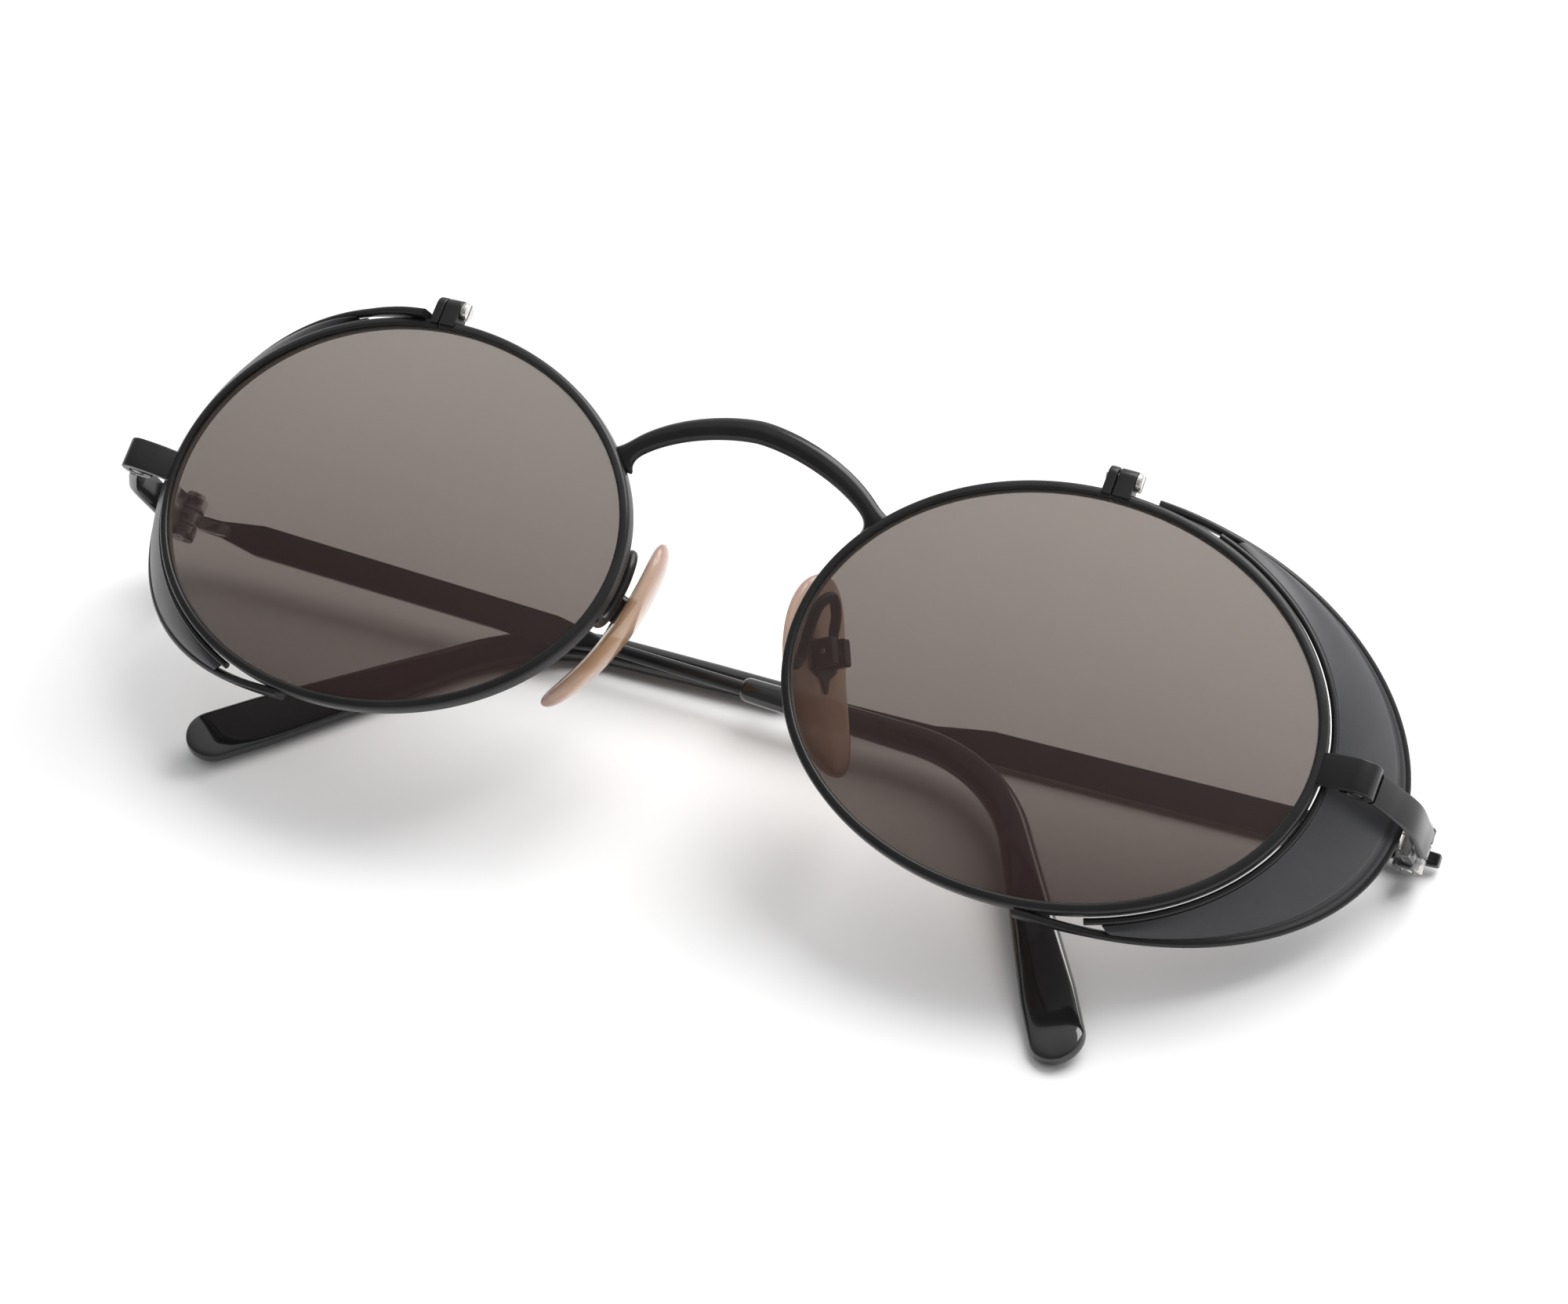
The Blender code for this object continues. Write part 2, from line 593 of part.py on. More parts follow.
# ---- temples, drawn for the left side in a frame on the hinge axis; the temple runs to -X -------------
def temple_back():
    """How far behind the hinge axis the folded temple's middle lies."""
    return HINGE_RADIUS + SOLDER_GAP + TEMPLE_STRIP / 2


def temple_frame_path(side, start, stop, count):
    """Points and down-turn angles along the temple's middle, by distance from the hinge axis."""
    step = 0.5 * MM
    point = Vector((0, TEMPLE_Y[side], -temple_back()))
    marks = [start + (stop - start) * k / (count - 1) for k in range(count)]
    out = []
    travelled = 0.0

    def heading(at):
        share = min(max((at - BEND_START) / BEND_LENGTH, 0), 1)
        down = TEMPLE_DROP[side] + TIP_DROP[side] * share
        inward = TIP_INWARD * share
        return Vector((-math.cos(down) * math.cos(inward), -math.sin(down) * math.cos(inward),
                       math.sin(inward))), down

    for mark in marks:
        while travelled + step < mark:
            point = point + heading(travelled + step / 2)[0] * step
            travelled += step
        rest = mark - travelled
        run, down = heading(mark)
        out.append((point + run * rest, run, down))
    return marks, out


def temple_rings(side, start, stop, count, outline):
    """Rings of outline(distance) along the temple; its second axis is the temple's height."""
    marks, frames = temple_frame_path(side, start, stop, count)
    rings = []
    for mark, (point, run, down) in zip(marks, frames):
        height = Vector((-math.sin(down), math.cos(down), 0))
        height = (height - run * height.dot(run)).normalized()
        face = height.cross(run)
        rings.append([point + face * a + height * b for a, b in outline(mark)])
    return rings


def bar_outline(at):
    """The temple bar's section: neck, flat bar, then the round wire that enters the tip."""
    height = blend(at, ((-TEMPLE_BUTT, TEMPLE_NECK * 0.8), (2.2 * MM, TEMPLE_NECK),
                        (3.0 * MM, TEMPLE_NECK), (8 * MM, TEMPLE_HEIGHT),
                        (BAR_END, TEMPLE_HEIGHT - 0.2 * MM),
                        (BAR_END + BAR_TAPER, 2 * TEMPLE_WIRE)))
    thick = blend(at, ((BAR_END, TEMPLE_STRIP), (BAR_END + BAR_TAPER, 2 * TEMPLE_WIRE)))
    power = blend(at, ((BAR_END, 7.0), (BAR_END + BAR_TAPER, 2.1)))
    if at > SLEEVE_START:
        height = thick = 2 * TEMPLE_WIRE - 0.3 * MM
    return oval(thick / 2, height / 2, 16, power)


def temple_bar(side, sign, parent):
    """The metal temple, from its butt past the hinge to the end of its wire inside the tip."""
    end = SLEEVE_START + CORE_LENGTH
    parts = ((-TEMPLE_BUTT, 2.2 * MM, 4), (3.0 * MM, 8 * MM, 4), (14 * MM, BAR_END, 5),
             (BAR_END + 2 * MM, BAR_END + BAR_TAPER, 3), (BAR_END + 9 * MM, SLEEVE_START - 0.5 * MM, 3),
             (SLEEVE_START + 0.05 * MM, end, 5))
    rings = []
    for start, stop, count in parts:
        rings += temple_rings(side, start, stop, count, bar_outline)
    finish(f"temple_bar_{side}", loft(rings), parent, black_metal(), sign)


def tip_outline(at):
    """The plastic tip's section: a rounded oblong that widens to a paddle."""
    ends = TEMPLE_LENGTH
    stops = (SLEEVE_START, SLEEVE_START + 8 * MM, BEND_START + BEND_LENGTH, ends - 8 * MM)
    height = blend(at, tuple(zip(stops, TIP_WIDTHS)))
    thick = blend(at, tuple(zip(stops, TIP_THICK)))
    power = blend(at, ((stops[0], 2.3), (stops[2], 3.0), (stops[3], 3.4)))
    left_over = ends - at
    nose = TIP_WIDTHS[-1] / 2
    if left_over < nose:
        fall = max(0.0, 1 - (1 - left_over / nose) ** 2) ** 0.5
        height = max(height * fall, 0.9 * MM)
        thick = max(thick * (0.45 + 0.55 * fall), 0.5 * MM)
    if at < SLEEVE_START + 0.6 * MM:
        round_off = (SLEEVE_START + 0.6 * MM - at) / (0.6 * MM)
        height -= 0.45 * MM * round_off ** 2
        thick -= 0.45 * MM * round_off ** 2
    return oval(thick / 2, height / 2, 20, power)


def temple_tip(side, sign, parent):
    """The plastic tip, hollow as far as the wire reaches and solid beyond."""
    def bore(at):
        radius = TEMPLE_WIRE - 0.15 * MM + SLEEVE_PLAY
        return oval(radius, radius, 20, 2.0)

    deep = SLEEVE_START + CORE_LENGTH + 0.3 * MM
    inner = temple_rings(side, SLEEVE_START, deep, 5, bore)
    rings = list(reversed(inner))
    parts = ((SLEEVE_START, SLEEVE_START + 0.6 * MM, 3), (SLEEVE_START + 4 * MM, BEND_START, 4),
             (BEND_START + 3 * MM, BEND_START + BEND_LENGTH, 7),
             (BEND_START + BEND_LENGTH + 5 * MM, TEMPLE_LENGTH - 5 * MM, 4),
             (TEMPLE_LENGTH - 3 * MM, TEMPLE_LENGTH, 7))
    for start, stop, count in parts:
        rings += temple_rings(side, start, stop, count, tip_outline)
    black = material("tip_plastic", (0.012, 0.012, 0.013), 0.08, 0.0)
    finish(f"temple_tip_{side}", loft(rings), parent, black, sign)


def hinge_temple(side, sign, parent):
    """The temple leaf: the middle knuckle and the plate that is soldered to the bar."""
    middle = knuckle_spans(side)[1]
    origin = Vector((0, 0, 0))
    face = -HINGE_RADIUS + 0.03 * MM
    plate = box((-4.6 * MM, middle[0] + 0.15 * MM, face), (0, middle[1] - 0.15 * MM, face + 0.7 * MM))
    obj = finish(f"hinge_temple_{side}", plate, parent, black_metal(), sign)
    ring = cutter(f"add_middle_{side}", knuckle(middle, origin), parent, sign)
    boolean(obj, ring, "UNION")
    boolean(obj, bore_cutter(f"cut_temple_{side}", side, origin, parent, sign), "DIFFERENCE")


# ---- side shields -----------------------------------------------------------------------------------------
def shield_edge(side, angle):
    """A point on the outer wire's middle: a squarish half oval that also runs back."""
    c, s = math.cos(angle), math.sin(angle)
    run = max(c, 0.0) ** SHIELD_POWER
    out = SHIELD_REACH * run
    back = SHIELD_FOOT_BACK[side] + out * math.sin(SHIELD_SLANT) + SHIELD_BOW * run * run
    back -= SHIELD_HALF_HEIGHT * s * math.sin(SHIELD_TILT[side])
    return Vector((SHIELD_FOOT_X + out * math.cos(SHIELD_SLANT), SHIELD_HALF_HEIGHT * s, -back))


def shield_lace(angle):
    """A point on the inner wire's middle, a slit's width outside the rim."""
    grow = RIM_WALL + SHIELD_GAP + SHIELD_LACE
    return outside_rim(angle, grow, SHIELD_LACE_BACK)


def lace_end(side):
    """The last angle at which the inner wire still clears the outer wire."""
    outer = [shield_edge(side, half_degrees * DEG / 2) for half_degrees in range(-176, 177)]
    touch = SHIELD_WIRE + SHIELD_LACE + SHIELD_JOIN
    angle = LACE_END
    while min((p - shield_lace(turn)).length for p in outer for turn in (angle, -angle)) < touch:
        angle -= 0.5 * DEG
    return angle


def shield(side, sign, parent, envelope):
    """A side shield: outer wire with squared ends, inner wire, and the sheet between them."""
    last = 88.3 * DEG
    count = 44
    angles = [last * math.sin(math.pi / 2 * (2 * k / count - 1)) for k in range(count + 1)]
    path = [shield_edge(side, a) for a in angles]

    flats = [max(0.0, (abs(a) / DEG - 76) / (88.3 - 76)) for a in angles]

    def section(i):
        wide = SHIELD_WIRE + (SHIELD_TAB / 2 - SHIELD_WIRE) * min(1, flats[i] * 1.5)
        return oval(SHIELD_WIRE - 0.05 * MM * flats[i], wide, 10, 2.0 + 3 * flats[i])

    forward = Vector((0, 0, 1))
    wire = sweep(path, section, lambda i: forward + Vector((0.2, 0, 0)))
    obj = finish(f"shield_wire_{side}", wire, parent, black_metal(), sign)
    boolean(obj, envelope, "DIFFERENCE")

    end = lace_end(side)
    lace_angles = [end * (2 * k / 32 - 1) for k in range(33)]
    lace_path = [shield_lace(a) for a in lace_angles]
    lace = sweep(lace_path, lambda i: oval(SHIELD_LACE, SHIELD_LACE, 8), lambda i: forward)
    finish(f"shield_lace_{side}", lace, parent, black_metal(), sign)

    rows = []
    for k in range(33):
        share = 2 * k / 32 - 1
        inner = shield_lace(64.5 * DEG * share)
        outer = shield_edge(side, SHEET_END * share)
        span = (outer - inner).normalized()
        out = shield_edge(side, SHEET_END * share + 0.01) - shield_edge(side, SHEET_END * share - 0.01)
        crossing = max(out.normalized().cross(span).length, 0.35)
        inner = inner + span * (SHIELD_LACE + SOLDER_GAP) / crossing
        outer = outer - span * (SHIELD_WIRE + 2 * SOLDER_GAP) / crossing
        normal = out.cross(span).normalized()
        if normal.x < 0:
            normal.negate()
        half = normal * SHIELD_SHEET / 2
        bulge = normal * 0.35 * MM
        points = [inner.lerp(outer, t) + bulge * 4 * t * (1 - t) for t in (0, 0.33, 0.67, 1)]
        rows.append([p + half for p in points] + [p - half for p in reversed(points)])
    sheet = material("shield_sheet", (0.045, 0.045, 0.05), 0.45, 0.6)
    finish(f"shield_sheet_{side}", loft(rows), parent, sheet, sign)


# ---- nose pads, drawn for the left side ---------------------------------------------------------------------
def pad_axes():
    """The pad's own directions: across (forward), up and out towards the lens."""
    up = PAD_UP.normalized()
    out = (PAD_OUT - up * PAD_OUT.dot(up)).normalized()
    across = up.cross(out)
    return across, up, out


def pad_foot(side):
    """Where the arm's wire starts, at the rim's back."""
    return outside_rim(PAD_FOOT[side], RIM_WALL / 2, RIM_DEPTH + SOLDER_GAP)


def pad_matrix(side, sign):
    """Places the pad's frame: origin on its pin, X across, Y up, Z out."""
    across, up, out = pad_axes()
    place = Matrix((across, up, out)).transposed().to_4x4()
    place.translation = pad_foot(side) + PAD_REACH
    if sign < 0:
        flip = Matrix.Diagonal((-1, 1, 1, 1))
        place = flip @ place @ flip
    return place


def pad_middle(y):
    """Height of the pad's middle over its frame, bowed along its length."""
    centre = PAD_ABOVE - PAD_LENGTH / 2
    rel = (y - centre) / (PAD_LENGTH / 2)
    floor = -(PAD_BOX.z / 2 + PAD_THICKNESS / 2 + 0.1 * MM)
    return floor + PAD_SAG * (rel * rel - (centre / (PAD_LENGTH / 2)) ** 2)


def pad(side, sign, parent):
    """The resin pad: a bowed oval, with a pocket in its lens side for the core plate."""
    count, half_len = 17, PAD_LENGTH / 2
    centre = PAD_ABOVE - half_len
    rings = []
    for k in range(count):
        rel = math.sin(math.pi / 2 * (2 * k / (count - 1) - 1)) * 0.995
        width = PAD_WIDTH / 2 * (1 - abs(rel) ** 2.6) ** 0.5 * (1 + 0.1 * rel)
        thick = PAD_THICKNESS / 2 * (0.35 + 0.65 * (1 - abs(rel) ** 8) ** 0.5)
        y = centre + half_len * rel
        middle = pad_middle(y)
        rings.append([Vector((a + PAD_SHIFT, y, middle + b)) for a, b in
                      oval(max(width, 0.3 * MM), thick, 20, 2.6)])
    resin = material("pad_resin", (0.75, 0.5, 0.35), 0.15, 0.0, 0.85)
    obj = finish(f"pad_{side}", loft(rings), parent, resin, sign)
    boolean(obj, cutter(f"cut_pad_{side}", core_shape(SOLDER_GAP), parent, sign), "DIFFERENCE")


def core_shape(grow):
    """The core plate with its pointed tail, let into the pad's lens side; grown by a clearance."""
    top = -PAD_BOX.z / 2
    low = pad_middle(0) + PAD_THICKNESS / 2 - PAD_PLATE - grow
    wide, tall, tail = PAD_BOX.x / 2 + PAD_RIM + grow, PAD_BOX.y / 2 + 0.2 * MM + grow, PAD_TAIL + grow
    outline = ((wide, tall), (-wide, tall), (-wide, -tall), (-0.55 * MM - grow, -2.4 * MM),
               (-0.2 * MM, -tail), (0.2 * MM, -tail), (0.55 * MM + grow, -2.4 * MM), (wide, -tall))
    high = top if not grow else top + 3 * MM
    return loft([[Vector((x, y, z)) for x, y in outline] for z in (low, high)])


def pad_core(side, sign, parent):
    """The metal core: plate and the box, slotted for the arm's eye and drilled for the pin."""
    obj = finish(f"pad_core_{side}", core_shape(0), parent, black_metal(), sign)
    half = PAD_BOX / 2
    lump = box((-half.x, -half.y, -half.z - 0.05 * MM), half)
    bevel_edges(lump, 0.15 * MM, 1)
    boolean(obj, cutter(f"add_box_{side}", lump, parent, sign), "UNION")
    slot = eye_width() / 2 + 0.1 * MM
    notch = box((-slot, -3 * MM, -half.z + 0.1 * MM), (slot, 3 * MM, 3 * MM))
    boolean(obj, cutter(f"cut_slot_{side}", notch, parent, sign), "DIFFERENCE")
    hole = turned([(-3 * MM, pin_radius() + SCREW_PLAY), (3 * MM, pin_radius() + SCREW_PLAY)],
                  Vector((1, 0, 0)), Vector((0, 0, 0)), 20)
    boolean(obj, cutter(f"cut_pin_{side}", hole, parent, sign), "DIFFERENCE")


def pin_radius():
    return 0.3 * MM


def eye_width():
    return 0.9 * MM


def pad_pin(side, sign, parent):
    """The pin, with a small head, on which the pad rocks."""
    half = PAD_BOX.x / 2
    r = pin_radius()
    seat = half + 0.03 * MM
    bm = turned([(-half - 0.1 * MM, r * 0.8), (-half, r), (seat, r), (seat, 0.6 * MM),
                 (seat + 0.25 * MM, 0.5 * MM)], Vector((1, 0, 0)), Vector((0, 0, 0)), 20)
    finish(f"pad_pin_{side}", bm, parent, bright_steel(), sign)


def pad_arm(side, sign, parent):
    """The looped arm from the rim's back, nose side, to its eye in the pad's box."""
    foot = pad_foot(side)
    across, up, out = pad_axes()
    eye = foot + PAD_REACH
    front = foot + Vector((-0.35, 4.2, -2.4)) * MM
    back = foot + Vector((0.95, 4.7, -4.3)) * MM
    points = [foot, foot + Vector((0.05, 0.1, -1.1)) * MM, foot + Vector((0, 1.3, -2.1)) * MM, front,
              front + Vector((0.05, 2.4, -0.1)) * MM, (front + back) / 2 + Vector((0.05, 3.5, 0)) * MM,
              back + Vector((0, 2.0, 0)) * MM, eye + up * 1.9 * MM + out * 0.3 * MM,
              eye + up * 0.55 * MM]
    path = smooth_path(points, 4)
    count = len(path)

    def section(i):
        slim = min(1, (count - 1 - i) / 5)
        radius = PAD_ARM * (0.75 + 0.25 * slim)
        return oval(radius, radius, 10)

    wire = sweep(path, section, lambda i: Vector((0.5, 0.1, 0.85)))
    obj = finish(f"pad_arm_{side}", wire, parent, black_metal(), sign)
    ring = turned([(-eye_width() / 2, 0.72 * MM), (eye_width() / 2, 0.72 * MM)], across, eye, 20)
    boolean(obj, cutter(f"add_eye_{side}", ring, parent, sign), "UNION")
    hole = turned([(-2 * MM, pin_radius() + SCREW_PLAY), (2 * MM, pin_radius() + SCREW_PLAY)],
                  across, eye, 20)
    boolean(obj, cutter(f"cut_eye_{side}", hole, parent, sign), "DIFFERENCE")


# ---- assembly -------------------------------------------------------------------------------------------------
def settle(root):
    """Slide the whole frame so that it stands on z = 0, centred over the origin."""
    bpy.context.view_layer.update()
    graph = bpy.context.evaluated_depsgraph_get()
    low = Vector((math.inf,) * 3)
    high = Vector((-math.inf,) * 3)
    for obj in bpy.context.scene.objects:
        if obj.type != "MESH" or obj.hide_render:
            continue
        shape = obj.evaluated_get(graph)
        for vertex in shape.data.vertices:
            p = shape.matrix_world @ vertex.co
            low = Vector(map(min, low, p))
            high = Vector(map(max, high, p))
    root.matrix_basis.translation -= Vector(((low.x + high.x) / 2, (low.y + high.y) / 2, low.z))
    bpy.context.view_layer.update()


def main():
    clear_scene()
    lean = Matrix.Rotation(ROLL, 4, "Y") @ Matrix.Rotation(LEAN, 4, "X")
    root = empty("glasses", None, lean)
    envelopes = []
    for side, sign in SIDES:
        lens_space = empty(f"lens_space_{side}", root, lens_frame(sign))
        envelope = rim_envelope(side, sign, lens_space)
        envelopes.append(envelope)
        rim(side, sign, lens_space)
        lens(side, sign, lens_space)
        lock(side, sign, lens_space, envelope)
        lug(side, sign, root, envelope)
        link(side, sign, root)
        hinge_front(side, sign, root)
        hinge_screw(side, sign, root)
        shield(side, sign, root, envelope)
        pad_arm(side, sign, root)
        place = Matrix.Translation((sign * HINGE_X, 0, -HINGE_BACK))
        axis = empty(f"temple_axis_{side}", root, place @ Matrix.Rotation(sign * FOLD[side], 4, "Y"))
        hinge_temple(side, sign, axis)
        temple_bar(side, sign, axis)
        temple_tip(side, sign, axis)
        pad_space = empty(f"pad_axis_{side}", root, pad_matrix(side, sign))
        pad(side, sign, pad_space)
        pad_core(side, sign, pad_space)
        pad_pin(side, sign, pad_space)
    bridge(root, envelopes)
    settle(root)


main()
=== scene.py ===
"""Glacier glasses, folded and lying on their temples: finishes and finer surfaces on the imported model."""
import json
import math

import bmesh
import bpy
import numpy as np
from mathutils import Matrix, Vector


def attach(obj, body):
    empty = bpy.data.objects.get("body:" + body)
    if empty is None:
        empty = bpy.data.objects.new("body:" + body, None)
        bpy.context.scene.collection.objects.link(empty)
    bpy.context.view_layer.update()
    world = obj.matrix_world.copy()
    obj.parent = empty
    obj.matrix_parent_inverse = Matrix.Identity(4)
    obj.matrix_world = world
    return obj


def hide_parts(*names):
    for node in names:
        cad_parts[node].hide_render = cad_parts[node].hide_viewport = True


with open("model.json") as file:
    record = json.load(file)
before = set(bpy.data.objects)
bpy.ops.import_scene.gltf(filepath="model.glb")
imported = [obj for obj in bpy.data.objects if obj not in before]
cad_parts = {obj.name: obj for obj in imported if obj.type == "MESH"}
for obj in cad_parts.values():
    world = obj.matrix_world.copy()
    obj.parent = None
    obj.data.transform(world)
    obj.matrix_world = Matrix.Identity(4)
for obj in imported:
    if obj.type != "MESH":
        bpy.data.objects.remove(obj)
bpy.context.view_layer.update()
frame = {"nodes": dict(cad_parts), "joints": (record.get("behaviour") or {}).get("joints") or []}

# ---- the front's own frame --------------------------------------------------------------------
# The glasses are drawn in millimetres from the middle of the front: +X to the wearer's left,
# +Y to the brow, +Z out through the lenses. The two temple hinges say where that frame lies.
MM = 0.001
DEG = math.pi / 180
SIDES = (("left", 1), ("right", -1))
HINGE_X = 67.597
HINGE_BACK = 21.0

joints = {joint["name"]: joint for joint in frame["joints"]}
left_hinge, right_hinge = (np.array(joints[f"temple_hinge_{side}"]["pos_m"]) for side, _ in SIDES)
FRONT_X = (left_hinge - right_hinge) / np.linalg.norm(left_hinge - right_hinge)
FRONT_Y = np.array(joints["temple_hinge_right"]["axis"])
FRONT_Z = np.cross(FRONT_X, FRONT_Y)
FRONT_AXES = np.array((FRONT_X, FRONT_Y, FRONT_Z))
FRONT_ORIGIN = (left_hinge + right_hinge) / 2 + FRONT_Z * HINGE_BACK * MM


def settled(points):
    """Points of the front's frame in the model's frame: origin plus each coordinate along its axis."""
    return FRONT_ORIGIN + np.asarray(points, float) * MM @ FRONT_AXES


def unit(vectors):
    """Vectors divided by their lengths."""
    return vectors / np.linalg.norm(vectors, axis=-1, keepdims=True)


# ---- camera, table and lights --------------------------------------------------------------------
# A long lens looks down on the front from the wearer's left. The table is a plain pale sheet,
# lit by a broad soft panel above and behind, in a room that is brightest on the same side. The
# table stays at the height of the folded rest, so a temple that opens downward passes below it.
CAMERA_AT = (160.449, -93.131, 366.790)
CAMERA_AIM = (9.690, -3.118, 0.0)
CAMERA_ROLL = 20.753 * DEG
CAMERA_LENS = 99.5
PANEL_AT = (0.35, 0.75, 0.95)
BRIGHT_SIDE = (0.25, 0.75, 0.60)
ROOM_TONES = ((0.0, 0.28), (0.85, 2.4), (0.35, 0.55))

eye, aim = settled([CAMERA_AT, CAMERA_AIM])
ahead = unit(aim - eye)
level = unit(np.cross(ahead, FRONT_Y))
upright = np.cross(level, ahead)
right = level * math.cos(CAMERA_ROLL) + upright * math.sin(CAMERA_ROLL)
top = np.cross(right, ahead)
camera_data = bpy.data.cameras.new("camera")
camera_data.lens = CAMERA_LENS
camera_data.sensor_width = 36
camera_data.clip_start = 0.02
camera_data.clip_end = 20
camera = bpy.data.objects.new("camera", camera_data)
bpy.context.scene.collection.objects.link(camera)
camera.matrix_world = Matrix(np.vstack([np.column_stack([right, top, -ahead, eye]),
                                        [0, 0, 0, 1]]).tolist())
bpy.context.scene.camera = camera


def panel(name, place, target, size, power, colour):
    """A square area light at place, facing target."""
    light = bpy.data.lights.new(name, "AREA")
    light.size = size
    light.energy = power
    light.color = colour
    obj = bpy.data.objects.new(name, light)
    obj.location = place
    facing = Vector(target) - Vector(place)
    obj.rotation_euler = facing.to_track_quat("-Z", "Y").to_euler()
    bpy.context.scene.collection.objects.link(obj)
    return obj


panel("panel_back", PANEL_AT, (0, 0, 0), 1.1, 20.0, (1.0, 0.99, 0.98))
world = bpy.data.worlds.new("pale_room")
bpy.context.scene.world = world
world.use_nodes = True
room = world.node_tree
direction = room.nodes.new("ShaderNodeTexCoord")
towards = room.nodes.new("ShaderNodeVectorMath")
towards.operation = "DOT_PRODUCT"
towards.inputs[1].default_value = unit(np.array(BRIGHT_SIDE))
sky = room.nodes.new("ShaderNodeValToRGB")
room.links.new(direction.outputs["Generated"], towards.inputs[0])
room.links.new(towards.outputs["Value"], sky.inputs["Fac"])
room.links.new(sky.outputs["Color"], room.nodes["Background"].inputs["Color"])
shades = (sky.color_ramp.elements[0], sky.color_ramp.elements[1], sky.color_ramp.elements.new(0.5))
for element, (height, tone) in zip(shades, ROOM_TONES):
    element.position = height
    element.color = (tone * 0.985, tone * 0.99, tone, 1)
bpy.context.scene.view_settings.view_transform = "Standard"


class Value:
    """A shader socket: an arithmetic expression on Values adds the Math nodes that work it out."""

    def __init__(self, finish, socket):
        self.finish = finish
        self.socket = socket

    def math(self, operation, *terms):
        return self.finish.node("ShaderNodeMath", {"operation": operation}, dict(enumerate(terms)))

    def __add__(self, other):
        return self.math("ADD", self, other)

    def __sub__(self, other):
        return self.math("SUBTRACT", self, other)

    def __rsub__(self, other):
        return self.math("SUBTRACT", other, self)

    def __mul__(self, other):
        return self.math("MULTIPLY", self, other)

    def __truediv__(self, other):
        return self.math("DIVIDE", self, other)

    def __pow__(self, other):
        return self.math("POWER", self, other)

    __radd__ = __add__
    __rmul__ = __mul__

    def clamp(self, low=0.0, high=1.0):
        return self.math("MINIMUM", self.math("MAXIMUM", self, low), high)


class Finish:
    """A material, built up node by node and closed with surface()."""

    def __init__(self, name):
        self.material = bpy.data.materials.new(name)
        self.material.use_nodes = True
        self.tree = self.material.node_tree
        self.tree.nodes.clear()

    def node(self, kind, settings=None, sockets=None, out=0):
        """Add a node: its settings come first, then the values or links of its sockets."""
        made = self.tree.nodes.new(kind)
        for name, value in (settings or {}).items():
            if name == "stops":
                while len(made.color_ramp.elements) < len(value):
                    made.color_ramp.elements.new(1.0)
                for element, (position, colour) in zip(made.color_ramp.elements, value):
                    element.position = position
                    element.color = colour
            else:
                setattr(made, name, value)
        for name, value in (sockets or {}).items():
            if isinstance(value, Value):
                self.tree.links.new(value.socket, made.inputs[name])
            else:
                made.inputs[name].default_value = value
        return None if out is None else Value(self, made.outputs[out])

    def where(self):
        return self.node("ShaderNodeTexCoord", out="Object")

    def carried(self, name):
        """A number stored on the mesh's points."""
        return self.node("ShaderNodeAttribute", {"attribute_name": name}, out="Fac")

    def noise(self, scale, detail=3.0, rough=0.5, at=None, stretch=(1, 1, 1)):
        point = self.node("ShaderNodeMapping", sockets={"Vector": at or self.where(), "Scale": stretch})
        return self.node("ShaderNodeTexNoise", sockets={"Vector": point, "Scale": scale,
                                                        "Detail": detail, "Roughness": rough})

    def ramp(self, value, *stops):
        """Colours by value; each stop is (position, grey) or (position, (r, g, b))."""
        full = [(at, (c, c, c, 1) if isinstance(c, (int, float)) else (*c, 1)) for at, c in stops]
        return self.node("ShaderNodeValToRGB", {"stops": full}, {"Fac": value})

    def mix(self, share, one, two):
        """Colour one where share is 0 and colour two where it is 1."""
        colours = [c if isinstance(c, Value) else (*c, 1) for c in (one, two)]
        return self.node("ShaderNodeMix", {"data_type": "RGBA"},
                         {0: share, 6: colours[0], 7: colours[1]}, out=2)

    def bump(self, height, strength, distance):
        return self.node("ShaderNodeBump", sockets={"Height": height, "Strength": strength,
                                                    "Distance": distance})

    def surface(self, cover=None, clear=(1, 1, 1), **sockets):
        """Close the material with a Principled shader; underscores in names stand for spaces.
        With a cover, only that share is solid and the rest lets light through, tinted clear."""
        named = {name.replace("_", " "): value for name, value in sockets.items()}
        shader = self.node("ShaderNodeBsdfPrincipled", sockets=named)
        if cover is not None:
            through = self.node("ShaderNodeBsdfTransparent", sockets={"Color": (*clear, 1)})
            shader = self.node("ShaderNodeMixShader", sockets={0: cover, 1: through, 2: shader})
        self.node("ShaderNodeOutputMaterial", sockets={"Surface": shader}, out=None)
        return self.material


def table_finish():
    """Pale matt sheet with a trace of cloudiness."""
    f = Finish("table_sheet")
    cloud = f.noise(6.0, 2.0)
    colour = f.ramp(cloud, (0.3, (0.90, 0.905, 0.91)), (0.7, (0.93, 0.93, 0.93)))
    return f.surface(Base_Color=colour, Roughness=f.noise(30.0) * 0.1 + 0.55)


def table():
    """A flat sheet at the height on which the folded glasses lie."""
    half = 2.5
    mesh = bpy.data.meshes.new("table")
    mesh.from_pydata([(-half, -half, 0), (half, -half, 0), (half, half, 0), (-half, half, 0)], [],
                     [(0, 1, 2, 3)])
    mesh.materials.append(table_finish())
    obj = bpy.data.objects.new("table", mesh)
    bpy.context.scene.collection.objects.link(obj)


table()

# ---- rims -----------------------------------------------------------------------------------------
# Each rim is grooved wire bent to an oval and to a 90 mm sphere, closed by the block on its top.
# It is lacquered black; every other black wire and strip of the front has the same lacquer.
LENS_HALF = (25.2, 19.4)
LENS_CENTRE_X = 35.5
BASE_RADIUS = 90.0
WRAP = 4.0 * DEG
RIM_WALL = 0.95
RIM_DEPTH = 1.6
LOCK_X = {"left": -0.7, "right": -2.0}


